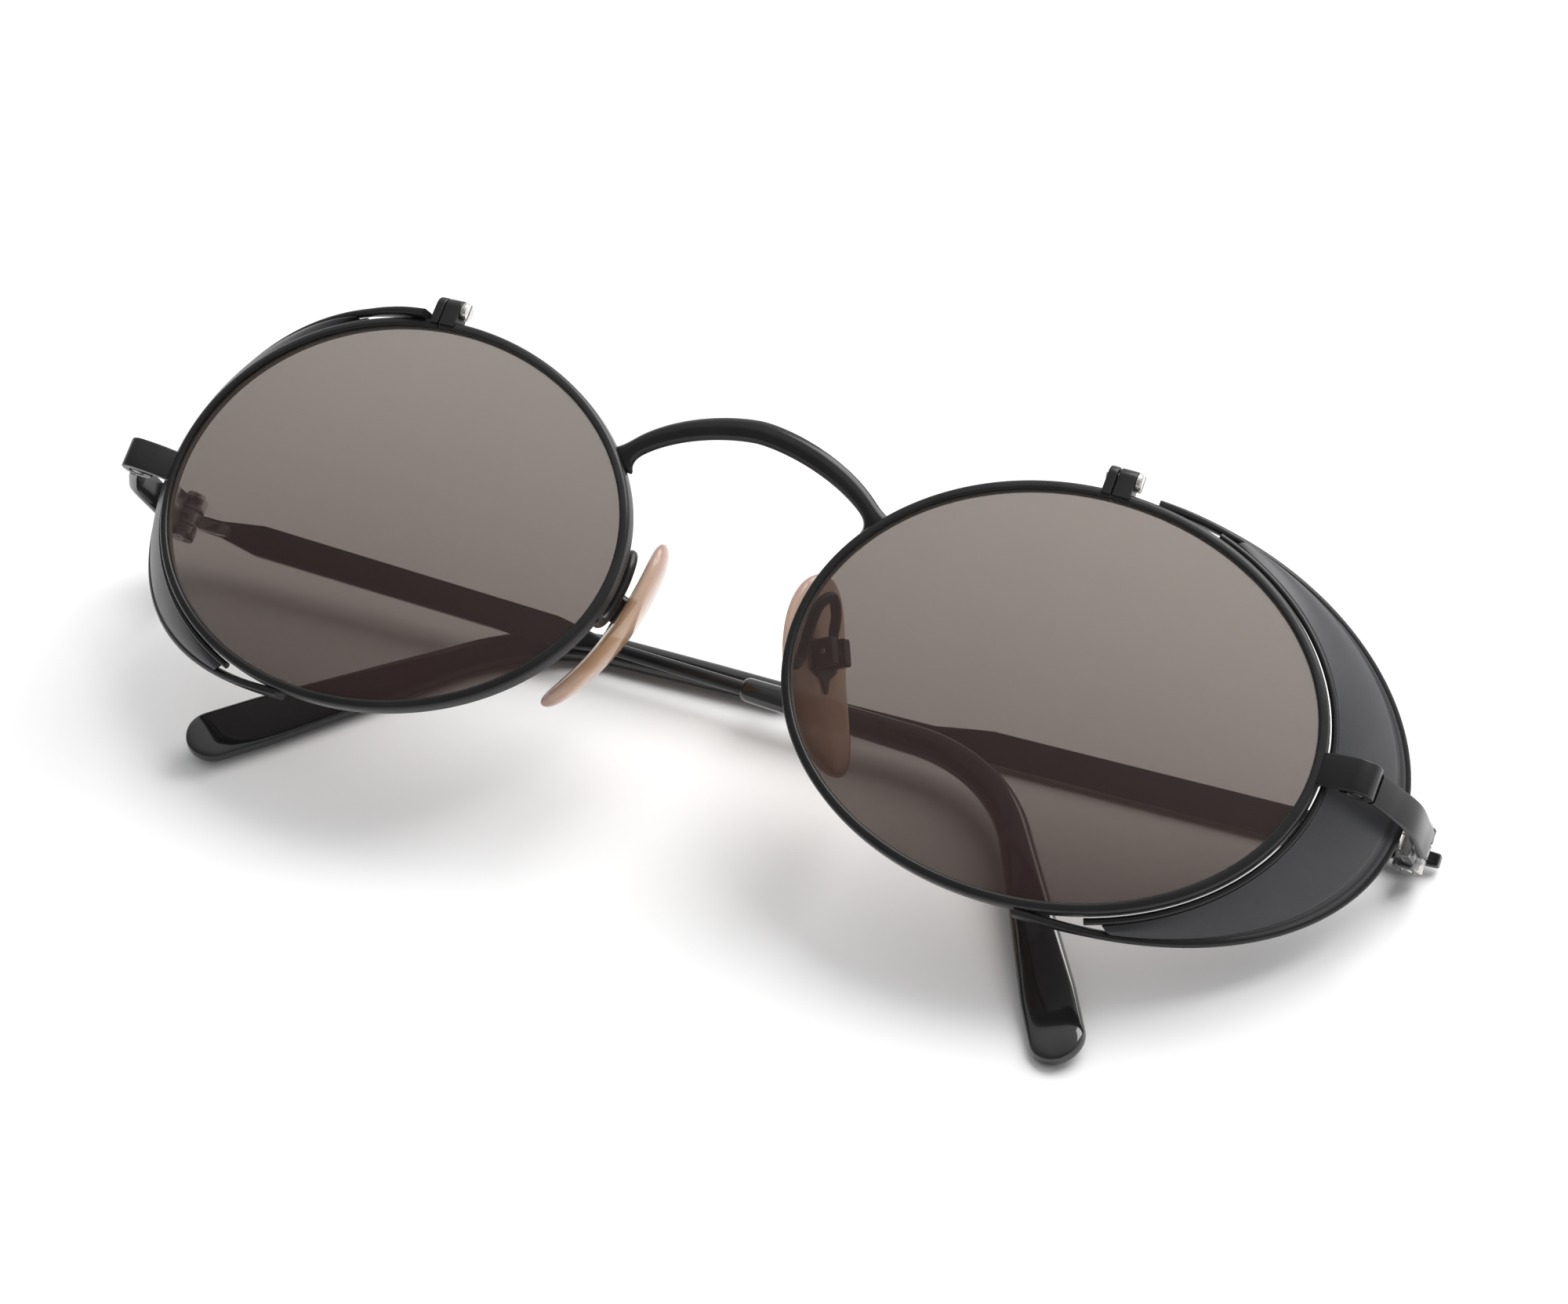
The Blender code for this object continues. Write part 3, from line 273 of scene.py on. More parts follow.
def dome(x, y):
    """Height of the sphere under the rims, zero at their tops: (half height^2 - x^2 - y^2) / 2 radius."""
    return (LENS_HALF[1] ** 2 - x * x - y * y) / (2 * BASE_RADIUS)


def lens_place(points, sign):
    """A lens's own frame in the front's: turned back by the wrap about Y, moved to its centre."""
    x, y, z = np.moveaxis(np.asarray(points, float), -1, 0)
    c, s = math.cos(sign * WRAP), math.sin(sign * WRAP)
    return np.stack([sign * LENS_CENTRE_X + x * c + z * s, y, z * c - x * s], -1)


def rim_point(angle, grow, back):
    """A point grow outside the oval opening, square to it, and back behind the domed front."""
    a, b = LENS_HALF
    c, s = np.cos(angle), np.sin(angle)
    out = unit(np.stack(np.broadcast_arrays(b * c, a * s), -1))
    x = a * c + out[..., 0] * grow
    y = b * s + out[..., 1] * grow
    return np.stack([x, y, dome(x, y) - back], -1)


def skin(name, rings, finish, body, *nodes, around=True, along=False, numbers=None, sharp=40):
    """A mesh over rings of points in the front's frame, n rings by m points.

    Neighbouring points of neighbouring rings make the faces; around closes each ring and along
    joins the last ring to the first. Open ends get flat caps. It rides on body and stands for nodes.
    """
    rings = np.asarray(rings, float)
    n, m, _ = rings.shape
    index = np.arange(n * m).reshape(n, m)
    one = index if along else index[:-1]
    two = np.roll(index, -1, 0) if along else index[1:]
    if around:
        faces = np.stack([one, np.roll(one, -1, 1), np.roll(two, -1, 1), two], -1)
    else:
        faces = np.stack([one[:, :-1], one[:, 1:], two[:, 1:], two[:, :-1]], -1)
    faces = faces.reshape(-1, 4).tolist()
    if around and not along:
        faces += [index[0][::-1].tolist(), index[-1].tolist()]
    mesh = bpy.data.meshes.new(name)
    mesh.from_pydata(settled(rings.reshape(-1, 3)).tolist(), [], faces)
    for key, values in (numbers or {}).items():
        layer = mesh.attributes.new(key, "FLOAT", "POINT")
        spread = np.broadcast_to(values, (n, m)).astype(np.float32)
        layer.data.foreach_set("value", np.ascontiguousarray(spread).ravel())
    solid = bmesh.new()
    solid.from_mesh(mesh)
    bmesh.ops.recalc_face_normals(solid, faces=solid.faces)
    solid.to_mesh(mesh)
    solid.free()
    mesh.shade_smooth()
    mesh.set_sharp_from_angle(angle=sharp * DEG)
    mesh.materials.append(finish)
    obj = bpy.data.objects.new(name, mesh)
    bpy.context.scene.collection.objects.link(obj)
    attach(obj, body)
    if nodes:
        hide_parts(*nodes)
    return obj


def lacquer_finish(name, tone, rough, grain):
    """Black lacquer: a faint orange peel, uneven gloss and fine rubbed hairlines along the wire."""
    f = Finish(name)
    cloud = f.noise(160.0, 4.0, 0.6)
    peel = f.noise(2600.0, 2.0)
    hair = f.noise(900.0, 3.0, 0.6, stretch=(0.12, 1.0, 1.0))
    colour = f.ramp(cloud, (0.25, tuple(0.7 * v for v in tone)), (0.75, tuple(1.35 * v for v in tone)))
    gloss = (cloud - 0.5) * 0.16 + (hair - 0.5) * 0.1 + rough
    return f.surface(Base_Color=colour, Roughness=gloss.clamp(0.06, 0.9), IOR=1.45,
                     Specular_IOR_Level=0.4, Normal=f.bump(peel * 0.6 + hair * 0.4, grain, 0.00004))


LACQUER = lacquer_finish("black_lacquer", (0.014, 0.014, 0.0145), 0.29, 0.35)


def corner_profile(low_a, high_a, low_b, high_b, radius, steps=5):
    """A rectangle from low to high on both axes with quarter-round corners, as rows of (a, b)."""
    turn = np.linspace(0, math.pi / 2, steps)
    quarter = np.stack([np.cos(turn), np.sin(turn)], -1) * radius
    spin = np.array([[0, 1], [-1, 0]])
    centres = [(high_a - radius, high_b - radius), (low_a + radius, high_b - radius),
               (low_a + radius, low_b + radius), (high_a - radius, low_b + radius)]
    rows = []
    for centre in centres:
        rows.append(quarter + centre)
        quarter = quarter @ spin
    return np.concatenate(rows)


def rims():
    """Each rim is one grooved profile carried round the oval, open at its closing block."""
    profile = corner_profile(0, RIM_WALL, 0, RIM_DEPTH, 0.33, 6)
    middle = RIM_DEPTH / 2
    groove = np.array([(0.0, middle + 0.42), (0.45, middle), (0.0, middle - 0.42)])
    profile = np.insert(profile, 12, groove, axis=0)
    for side, sign in SIDES:
        split = math.acos(LOCK_X[side] / LENS_HALF[0])
        slit = 0.0024
        angle = np.linspace(split + slit, split + 2 * math.pi - slit, 300)[:, None]
        rings = rim_point(angle, profile[None, :, 0], profile[None, :, 1])
        skin(f"rim_wire_{side}", lens_place(rings, sign), LACQUER, "front", f"rim_{side}")


rims()

# ---- lenses ---------------------------------------------------------------------------------------
# Thin domed resin lenses, tinted grey-brown, with painted shade that makes them darker towards the cheek.
# Their edges are ground to a bevel that sits in the rim's groove; a painted highlight on it gives a thin
# bright line.
LENS_EDGE = 0.34
LENS_THICKNESS = 1.3


def lens_finish():
    """Tinted resin, with painted shade making it darker and less see-through to the cheek, less see-through
    at a slant, hazed by faint wiping smears, with a painted highlight on the bevel ring.
    """
    f = Finish("lens_tint")
    height = f.carried("height")
    edge = f.carried("edge")
    haze = f.noise(45.0, 3.0)
    smear = f.noise(70.0, 3.0, 0.6, stretch=(0.3, 1.0, 1.0))
    # Painted shade: by the mesh's height number plus a little haze, the lens gets darker and less
    # see-through towards the cheek.
    painted_shade_fade = height + (haze - 0.5) * 0.06
    tint = f.ramp(painted_shade_fade, (0.05, (0.040, 0.019, 0.018)), (0.95, (0.034, 0.026, 0.021)))
    # Painted highlight: the bevel ring is mixed towards light grey and made more solid, a thin bright line
    # round the lens.
    colour = f.mix(edge * 0.85, tint, (0.55, 0.53, 0.50))
    slant = f.node("ShaderNodeLayerWeight", sockets={"Blend": 0.5}, out="Facing")
    cover = 0.66 - painted_shade_fade * 0.13 + edge * 0.3 + slant ** 3.0 * 0.4
    return f.surface(cover=cover.clamp(), clear=(1.0, 0.94, 0.9), Base_Color=colour, IOR=1.5,
                     Roughness=(smear - 0.5) * 0.05 + 0.05, Normal=f.bump(smear, 0.03, 0.00003))


def lenses():
    """Front dome, bevel and back dome as rings from pole to pole; a ring is the rim's oval shrunk
    by a share, lifted by the dome, and the back falls away by the lens's swelling."""
    middle = RIM_DEPTH / 2
    shares = np.sin(np.linspace(0.01, 1, 26) * math.pi / 2)
    turn = np.linspace(0, 2 * math.pi, 220, endpoint=False)
    flat = rim_point(turn, -0.1, 0)[:, :2]
    swell = LENS_THICKNESS - 2 * LENS_EDGE

    def face(share, back, swelling):
        x, y = flat[:, 0] * share, flat[:, 1] * share
        return np.stack([x, y, dome(x, y) - back - swelling * (1 - share * share)], -1)

    rings = [face(share, middle - LENS_EDGE, 0) for share in shares]
    rings += [rim_point(turn, -0.02, middle - LENS_EDGE + 0.08), rim_point(turn, 0.33, middle),
              rim_point(turn, -0.02, middle + LENS_EDGE - 0.08)]
    rings += [face(share, middle + LENS_EDGE, swell) for share in shares[::-1]]
    rings = np.array(rings)
    # The edge number marks the bevel ring for its painted highlight; the height number, cheek to brow,
    # drives the painted shade.
    edge = np.zeros(len(rings))
    edge[len(shares):len(shares) + 3] = 1.0
    height = 0.5 + rings[..., 1] / (2 * LENS_HALF[1])
    finish = lens_finish()
    for side, sign in SIDES:
        skin(f"lens_glass_{side}", lens_place(rings, sign), finish, "front", f"lens_{side}",
             numbers={"edge": edge[:, None], "height": height})


lenses()

# ---- closing blocks -------------------------------------------------------------------------------
# A small round-topped block on each rim is split in two, and its slotted screw draws the rim
# shut on the lens. Blocks are lacquered like the rim; the screws are bare turned steel.
LOCK_HALVES = (0.95, 1.75)
LOCK_SPLIT = 0.12
LOCK_TOP = LENS_HALF[1] + RIM_WALL + 2.45
LOCK_HALF_DEPTH = 1.0


def steel_finish(name, tone, rough):
    """Bare turned steel: fine tool rings broken up by noise, with a little dulling."""
    f = Finish(name)
    rings = f.node("ShaderNodeTexWave", {"wave_type": "RINGS"},
                   {"Vector": f.where(), "Scale": 2600.0, "Distortion": 3.0, "Detail": 2.0})
    dull = f.noise(700.0, 4.0, 0.65)
    colour = f.ramp(dull, (0.25, tuple(0.55 * v for v in tone)), (0.7, tone))
    return f.surface(Base_Color=colour, Metallic=1.0, Roughness=(dull - 0.5) * 0.25 + rough,
                     Normal=f.bump(rings * 0.5 + dull * 0.5, 0.3, 0.00002))


STEEL = steel_finish("bare_steel", (0.80, 0.79, 0.77), 0.24)


def pillow(outline, low, high, radius, steps=5):
    """A prism along X with rounded ends: the outline (y, z) draws in as a quarter circle at each."""
    outline = np.asarray(outline, float)
    middle = outline.mean(0)
    turn = np.linspace(0, math.pi / 2, steps)
    inset = radius * (1 - np.sin(turn))
    along = radius * (1 - np.cos(turn))
    reach = np.linalg.norm(outline - middle, axis=1, keepdims=True)
    rings = []
    for edge, step in list(zip(low + along, inset)) + list(zip(high - along, inset))[::-1]:
        drawn = middle + (outline - middle) * (1 - step / reach)
        rings.append(np.column_stack([np.full(len(drawn), edge), drawn]))
    return np.array(rings)


def closing_blocks():
    """Two halves on each rim, flat at the foot and rounded on top, with their screw."""
    base = LENS_HALF[1] + 0.35
    middle = -RIM_DEPTH / 2 - 0.1
    axis = LOCK_TOP - LOCK_HALF_DEPTH
    turn = np.linspace(0, math.pi, 25)
    arc = np.column_stack([axis + LOCK_HALF_DEPTH * np.sin(turn),
                           middle + LOCK_HALF_DEPTH * np.cos(turn)])
    outline = np.vstack([[(base, middle - LOCK_HALF_DEPTH), (base, middle + LOCK_HALF_DEPTH)], arc])
    for side, sign in SIDES:
        split = LOCK_X[side]
        spans = {"inner": (split - LOCK_SPLIT / 2 - LOCK_HALVES[0], split - LOCK_SPLIT / 2),
                 "outer": (split + LOCK_SPLIT / 2, split + LOCK_SPLIT / 2 + LOCK_HALVES[1])}
        for half, (low, high) in spans.items():
            rings = lens_place(pillow(outline, low, high, 0.16), sign)
            skin(f"block_{half}_{side}", rings, LACQUER, "front", f"lock_{half}_{side}")
        frame["nodes"][f"lock_screw_{side}"].data.materials[0] = STEEL


closing_blocks()

# ---- bridge ---------------------------------------------------------------------------------------
# One arched wire, flattened to two faces with a soft ridge between them, slimmer towards its feet
# and flared where it is soldered to the rims. It is polished before it is lacquered.
BRIDGE_FOOT = 148.2 * DEG
BRIDGE_RISE = 6.55
BRIDGE_BOW = 2.5
BRIDGE_POWER = 1.21
BRIDGE_BACK = 1.35
BRIDGE_WIDTHS = (1.6, 2.3)
BRIDGE_FLARE = 0.9
FLARE_FROM = 0.48
FLARE_RUN = 0.28
FOOT_TAPER = 0.1
POLISHED = lacquer_finish("polished_lacquer", (0.014, 0.014, 0.0145), 0.2, 0.15)


def carry(path, second, profile):
    """Rings of a profile carried along a path. At each point the second axis is made square to the
    path's run, the first axis is second x run, and a ring is point + first * a + second * b."""
    path = np.asarray(path, float)
    run = unit(np.gradient(path, axis=0))
    second = np.broadcast_to(np.asarray(second, float), path.shape)
    second = unit(second - run * np.sum(second * run, -1, keepdims=True))
    first = np.cross(second, run)
    profile = np.asarray(profile, float)
    if profile.ndim == 2:
        profile = profile[None]
    return (path[:, None] + first[:, None] * profile[..., :1] + second[:, None] * profile[..., 1:])


def kept_out(points, grow):
    """Points that lie inside a rim's oval, opening plus grow, moved straight out from the lens's
    centre on to it, as a filed and soldered end follows the rim."""
    points = np.array(points, float)
    for _, sign in SIDES:
        c, s = math.cos(sign * WRAP), math.sin(sign * WRAP)
        across = (points[..., 0] - sign * LENS_CENTRE_X) * c - points[..., 2] * s
        ratio = np.hypot(across / (LENS_HALF[0] + grow), points[..., 1] / (LENS_HALF[1] + grow))
        push = np.where(ratio < 1, 1 / np.maximum(ratio, 0.05) - 1, 0)
        points[..., 0] += across * push
        points[..., 1] += points[..., 1] * push
    return points


def bridge():
    """The arch is half * |cos|^power across, rise * |sin|^power up and bow * sin forward. It swells
    below FLARE_FROM of the sine and thins again at the very foot."""
    foot = lens_place(rim_point(np.array(BRIDGE_FOOT), 0, 0), 1)
    turn = np.linspace(0.0, math.pi, 150)
    c, s = np.cos(turn), np.clip(np.sin(turn), 0, 1)
    path = np.column_stack([foot[0] * np.sign(c) * np.abs(c) ** BRIDGE_POWER,
                            foot[1] + BRIDGE_RISE * s ** BRIDGE_POWER, BRIDGE_BOW * s - BRIDGE_BACK])
    swell = np.clip((FLARE_FROM - s) / FLARE_RUN, 0, 1) ** 2.5
    flare = swell * BRIDGE_FLARE * np.clip(s / FOOT_TAPER, 0, 1)
    half = np.interp(s, (0, 1), BRIDGE_WIDTHS) / 2 + flare
    knots = np.array([(1.0, -0.22), (0.75, 0.28), (0.1, 0.62), (-0.6, 0.47), (-1.0, 0.06),
                      (-0.9, -0.44), (-0.5, -0.62), (0.5, -0.62), (0.9, -0.5)])
    around = np.linspace(0, 1, 36, endpoint=False)
    marks = np.linspace(0, 1, len(knots) + 1)
    closed = np.vstack([knots, knots[:1]])
    section = np.column_stack([np.interp(around, marks, closed[:, k]) for k in (0, 1)])
    soft = (np.roll(section, 1, 0) + 2 * section + np.roll(section, -1, 0)) / 4
    profile = np.stack([half[:, None] * soft[:, 0], np.broadcast_to(soft[:, 1], (len(half), 36))], -1)
    rings = kept_out(carry(path, (0, 0, 1), profile), 0.45)
    skin("bridge_arch", rings, POLISHED, "front", "bridge")


bridge()

# ---- endpieces --------------------------------------------------------------------------------------
# A strip soldered to the rim's outer side is curled round an upright pin. A second strip runs
# from it out and back to the temple hinge, with bevelled edges that shine.
RIM_OUTER_X = float(lens_place(rim_point(np.array(0.0), RIM_WALL, 0), 1)[0])
LUG_REACH = 3.6
LUG_BACK = 3.9
LUG_CURL = 1.2
LUG_Y = {"left": 0.75, "right": -0.6}
HINGE_Y = {"left": 0.1, "right": -1.3}
LINK_OFFSET = 1.45


def smooth_path(points, steps):
    """A Catmull-Rom curve: each span blends its four nearest points with cubic weights."""
    points = np.asarray(points, float)
    held = np.vstack([points[:1], points, points[-1:]])
    t = np.linspace(0, 1, steps, endpoint=False)[None, :, None]
    a, b, c, d = (held[k:len(points) - 1 + k, None] for k in range(4))
    curve = 0.5 * (2 * b + (c - a) * t + (2 * a - 5 * b + 4 * c - d) * t ** 2
                   + (3 * b - a - 3 * c + d) * t ** 3)
    return np.vstack([curve.reshape(-1, 3), points[-1:]])


def endpieces():
    """The lug curls round its pin, and the link runs on from it to the hinge."""
    front_z = float(lens_place(rim_point(np.array(0.0), RIM_WALL / 2, RIM_DEPTH / 2), 1)[2])
    front_x = RIM_OUTER_X - RIM_WALL / 2
    for side, sign in SIDES:
        centre = np.array([RIM_OUTER_X + LUG_REACH, LUG_Y[side], -LUG_BACK])
        turn = np.linspace(97, -178, 60) * DEG
        curl = centre + np.column_stack([np.cos(turn), 0 * turn, np.sin(turn)]) * LUG_CURL
        lead = [(front_x, centre[1], front_z),
                ((front_x + centre[0]) / 2, centre[1], centre[2] + 0.6 * LUG_CURL), curl[0]]
        strip = np.vstack([smooth_path(lead, 8)[:-1], curl])
        rings = carry(strip, (0, 1, 0), corner_profile(-0.45, 0.45, -1.55, 1.55, 0.14, 4))
        skin(f"lug_strip_{side}", rings * (sign, 1, 1), LACQUER, "front", f"lug_{side}", sharp=50)
        frame["nodes"][f"lug_pin_{side}"].data.materials[0] = POLISHED
        outer = HINGE_X + LINK_OFFSET
        along = np.array([(centre[0] + 1.15, centre[2] - 1.5), (centre[0] + 2.45, centre[2] - 4.0),
                          (outer - 0.12, centre[2] - 7.6), (outer, -HINGE_BACK + 4.6),
                          (outer, -HINGE_BACK + 2.5)])
        height = np.interp(-along[:, 1], (LUG_BACK, HINGE_BACK), (centre[1], HINGE_Y[side]))
        path = smooth_path(np.column_stack([along[:, 0], height, along[:, 1]]), 12)
        rings = carry(path, (0, 1, 0), corner_profile(-0.5, 0.5, -1.5, 1.5, 0.33, 3))
        skin(f"link_strip_{side}", rings * (sign, 1, 1), POLISHED, "front", f"link_{side}", sharp=30)


endpieces()

# ---- temple hinges ----------------------------------------------------------------------------------
# Three-knuckle barrels of bright metal under thin lacquer that has rubbed off on the round, with a
# bare slotted screw down the middle.


def worn_finish():
    """Lacquer over bright metal: patches of noise show the metal."""
    f = Finish("rubbed_barrel")
    patch = f.noise(520.0, 4.0, 0.6)
    worn = ((patch - 0.40) * 6.0).clamp()
    colour = f.mix(worn, (0.03, 0.03, 0.032), (0.62, 0.61, 0.60))
    return f.surface(Base_Color=colour, Metallic=worn, Roughness=0.32 - worn * 0.1,
                     Normal=f.bump(patch, 0.25, 0.00003))


BARREL = worn_finish()
for side, _ in SIDES:
    for node in (f"hinge_front_{side}", f"hinge_temple_{side}"):
        frame["nodes"][node].data.materials[0] = BARREL
    frame["nodes"][f"hinge_screw_{side}"].data.materials[0] = STEEL

# ---- side shields -----------------------------------------------------------------------------------
# A thin pressed sheet, satin dark grey, closes the gap between rim and cheek. It sits between an
# outer wire, whose squared ends are soldered to the rim, and a thin wire that follows the rim.
SHIELD_FOOT_X = 37.8
SHIELD_REACH = 29.9
SHIELD_HALF_HEIGHT = 20.4
SHIELD_FOOT_BACK = {"left": 1.35, "right": 0.7}
SHIELD_SLANT = 11.65 * DEG
SHIELD_TILT = {"left": 0.0, "right": 1.9 * DEG}
SHIELD_BOW = 7.55
SHIELD_POWER = 0.89
SHIELD_WIRE = 0.45
SHIELD_LACE = 0.33
SHIELD_GAP = 0.08
LACE_BACK = 1.3
LACE_END = {"left": 67.5 * DEG, "right": 65.5 * DEG}
SHEET_END = 71.5 * DEG


def shield_edge(side, angle):
    """Middle of the outer wire: a squarish half oval, slanted and bowed towards the back."""
    c, s = np.cos(angle), np.sin(angle)
    run = np.clip(c, 0, None) ** SHIELD_POWER
    out = SHIELD_REACH * run
    back = SHIELD_FOOT_BACK[side] + out * math.sin(SHIELD_SLANT) + SHIELD_BOW * run * run
    back = back - SHIELD_HALF_HEIGHT * s * math.sin(SHIELD_TILT[side])
    return np.stack([SHIELD_FOOT_X + out * math.cos(SHIELD_SLANT), SHIELD_HALF_HEIGHT * s, -back], -1)


def shield_lace(angle):
    """Middle of the inner wire: the rim's oval grown by a slit's width."""
    return lens_place(rim_point(angle, RIM_WALL + SHIELD_GAP + SHIELD_LACE, LACE_BACK), 1)


def oval(half_a, half_b, count, power=2.0):
    """A superellipse: |cos|^(2 / power) and |sin|^(2 / power) with their signs, times its halves."""
    turn = 2 * math.pi * (np.arange(count) + 0.5) / count
    c, s = np.cos(turn), np.sin(turn)
    half_a, half_b, power = (np.atleast_1d(v)[:, None] for v in (half_a, half_b, power))
    return np.stack(np.broadcast_arrays(half_a * np.sign(c) * np.abs(c) ** (2 / power),
                                        half_b * np.sign(s) * np.abs(s) ** (2 / power)), -1)


def sheet_finish():
    """Satin grey lacquer over pressed metal: fine even grain, cloudy gloss, and painted shade darkening the
    groove.
    """
    f = Finish("shield_satin_groove_shade")
    grain = f.noise(3200.0, 2.0, 0.7)
    cloud = f.noise(110.0, 4.0, 0.6)
    groove = f.carried("groove")
    colour = f.ramp(cloud + (grain - 0.5) * 0.3, (0.2, (0.030, 0.031, 0.034)),
                    (0.8, (0.050, 0.051, 0.055)))
    # Painted shade: the groove is mixed towards near black.
    colour = f.mix(groove * 0.7, colour, (0.02, 0.02, 0.022))
    return f.surface(Base_Color=colour, Metallic=0.3, Roughness=(cloud - 0.5) * 0.15 + 0.40,
                     Normal=f.bump(grain, 0.25, 0.00002))


def shields():
    """Outer wire, inner wire and the pressed sheet between them, on each side."""
    finish = sheet_finish()
    last = 88.3 * DEG
    turn = last * np.sin(np.linspace(-1, 1, 180) * math.pi / 2)
    flat = np.clip((np.abs(turn) / DEG - 76) / (88.3 - 76), 0, 1)
    wide = SHIELD_WIRE + (0.8 - SHIELD_WIRE) * np.clip(flat * 1.5, 0, 1)
    wire_profile = oval(SHIELD_WIRE - 0.05 * flat, wide, 28, 2.0 + 3 * flat)
    share = np.linspace(-1, 1, 140)
    across = np.concatenate([np.linspace(0, 0.84, 22), [0.865, 0.88, 0.90, 0.92, 0.935], [0.96, 1.0]])
    dip = np.interp(across, (0.84, 0.88, 0.92, 0.96), (0.0, 1.0, 1.0, 0.0))
    for side, sign in SIDES:
        wire = carry(shield_edge(side, turn), (0.2, 0, 1), wire_profile)
        wire = kept_out(wire, 0.6) * (sign, 1, 1)
        skin(f"shield_rod_{side}", wire, LACQUER, "front", f"shield_wire_{side}")
        lace_turn = LACE_END[side] * np.linspace(-1, 1, 120)
        lace = carry(shield_lace(lace_turn), (0, 0, 1), oval(SHIELD_LACE, SHIELD_LACE, 18))
        skin(f"shield_thread_{side}", lace * (sign, 1, 1), LACQUER, "front", f"shield_lace_{side}")
        inner = shield_lace(64.5 * DEG * share)
        outer = shield_edge(side, SHEET_END * share)
        span = unit(outer - inner)
        run = unit(np.gradient(outer, axis=0))
        crossing = np.maximum(np.linalg.norm(np.cross(run, span), axis=1), 0.35)[:, None]
        inner = inner + span * (SHIELD_LACE - 0.05) / crossing
        outer = outer - span * (SHIELD_WIRE - 0.1) / crossing
        normal = unit(np.cross(run, span))
        normal = normal * np.sign(normal[:, :1])
        t = across[None, :, None]
        middle = inner[:, None] * (1 - t) + outer[:, None] * t + normal[:, None] * 1.4 * t * (1 - t)
        half = 0.25 - 0.14 * dip[None, :, None]
        rings = np.concatenate([middle + normal[:, None] * half,
                                (middle - normal[:, None] * half)[:, ::-1]], 1)
        # The groove number also marks where the sheet's colour gets painted shade.
        groove = np.concatenate([dip, dip[::-1]])
        skin(f"shield_panel_{side}", rings * (sign, 1, 1), finish, "front", f"shield_sheet_{side}",
             numbers={"groove": groove[None]}, sharp=50)


shields()

# ---- temples ----------------------------------------------------------------------------------------
# Each temple is a flat lacquered bar with a narrow neck at the hinge. It runs down to a round wire,
# which a polished black plastic tip takes over; the tip bends behind the ear to a paddle.
TEMPLE_BACK = 1.5 + 0.07 + 0.55
TEMPLE_Y = {"left": 0.0, "right": -0.95}
TEMPLE_DROP = {"left": 1.1 * DEG, "right": 1.45 * DEG}
TIP_DROP = {"left": 43.0 * DEG, "right": 52.0 * DEG}
FOLD = {"left": -1.4 * DEG, "right": 1.7 * DEG}
TEMPLE_LENGTH = 131.0
BEND_START = 85.0
BEND_LENGTH = 17.5
TIP_INWARD = 23.5 * DEG
SLEEVE_START = 66.0


def temple_line(side, marks):
    """Points, runs and down-turns of a temple's middle by distance from its hinge.

    The run turns down and inwards evenly over the bend, and the points are its running sum.
    """
    fine = np.arange(-3, TEMPLE_LENGTH + 0.5, 0.1)

    def heading(at):
        share = np.clip((at - BEND_START) / BEND_LENGTH, 0, 1)
        down = TEMPLE_DROP[side] + TIP_DROP[side] * share
        inward = TIP_INWARD * share
        return np.stack([-np.cos(down) * np.cos(inward), -np.sin(down) * np.cos(inward),
                         np.sin(inward)], -1), down

    steps = heading(fine[:-1] + 0.05)[0] * 0.1
    trail = np.vstack([np.zeros(3), np.cumsum(steps, 0)])
    start = np.array([np.interp(0.0, fine, trail[:, k]) for k in range(3)])
    points = np.column_stack([np.interp(marks, fine, trail[:, k]) for k in range(3)]) - start
    run, down = heading(marks)
    return points + (0, TEMPLE_Y[side], -TEMPLE_BACK), run, down


def temple_rings(side, sign, marks, profile):
    """The profile carried along a temple; its second axis stays in the temple's height. The whole
    is then folded about the hinge and mirrored for the right side."""
    points, run, down = temple_line(side, marks)
    height = np.stack([-np.sin(down), np.cos(down), 0 * down], -1)
    height = unit(height - run * np.sum(height * run, -1, keepdims=True))
    face = np.cross(height, run)
    rings = points[:, None] + face[:, None] * profile[..., :1] + height[:, None] * profile[..., 1:]
    x, y, z = np.moveaxis(rings * (sign, 1, 1), -1, 0)
    c, s = math.cos(sign * FOLD[side]), math.sin(sign * FOLD[side])
    return np.stack([sign * HINGE_X + x * c + z * s, y, -HINGE_BACK + z * c - x * s], -1)


def tip_finish():
    """Polished black plastic: deep gloss, faint handling smudges and hair-fine rub marks."""
    f = Finish("tip_plastic")
    smudge = f.noise(190.0, 5.0, 0.65)
    hair = f.noise(1500.0, 3.0, 0.5, stretch=(0.1, 1.0, 1.0))
    colour = f.ramp(smudge, (0.3, (0.006, 0.006, 0.0065)), (0.75, (0.013, 0.013, 0.014)))
    return f.surface(Base_Color=colour, Roughness=((smudge - 0.5) * 0.14 + 0.10).clamp(0.03, 0.5),
                     IOR=1.5, Coat_Weight=0.6, Coat_Roughness=0.03,
                     Normal=f.bump(hair + smudge, 0.06, 0.00003))


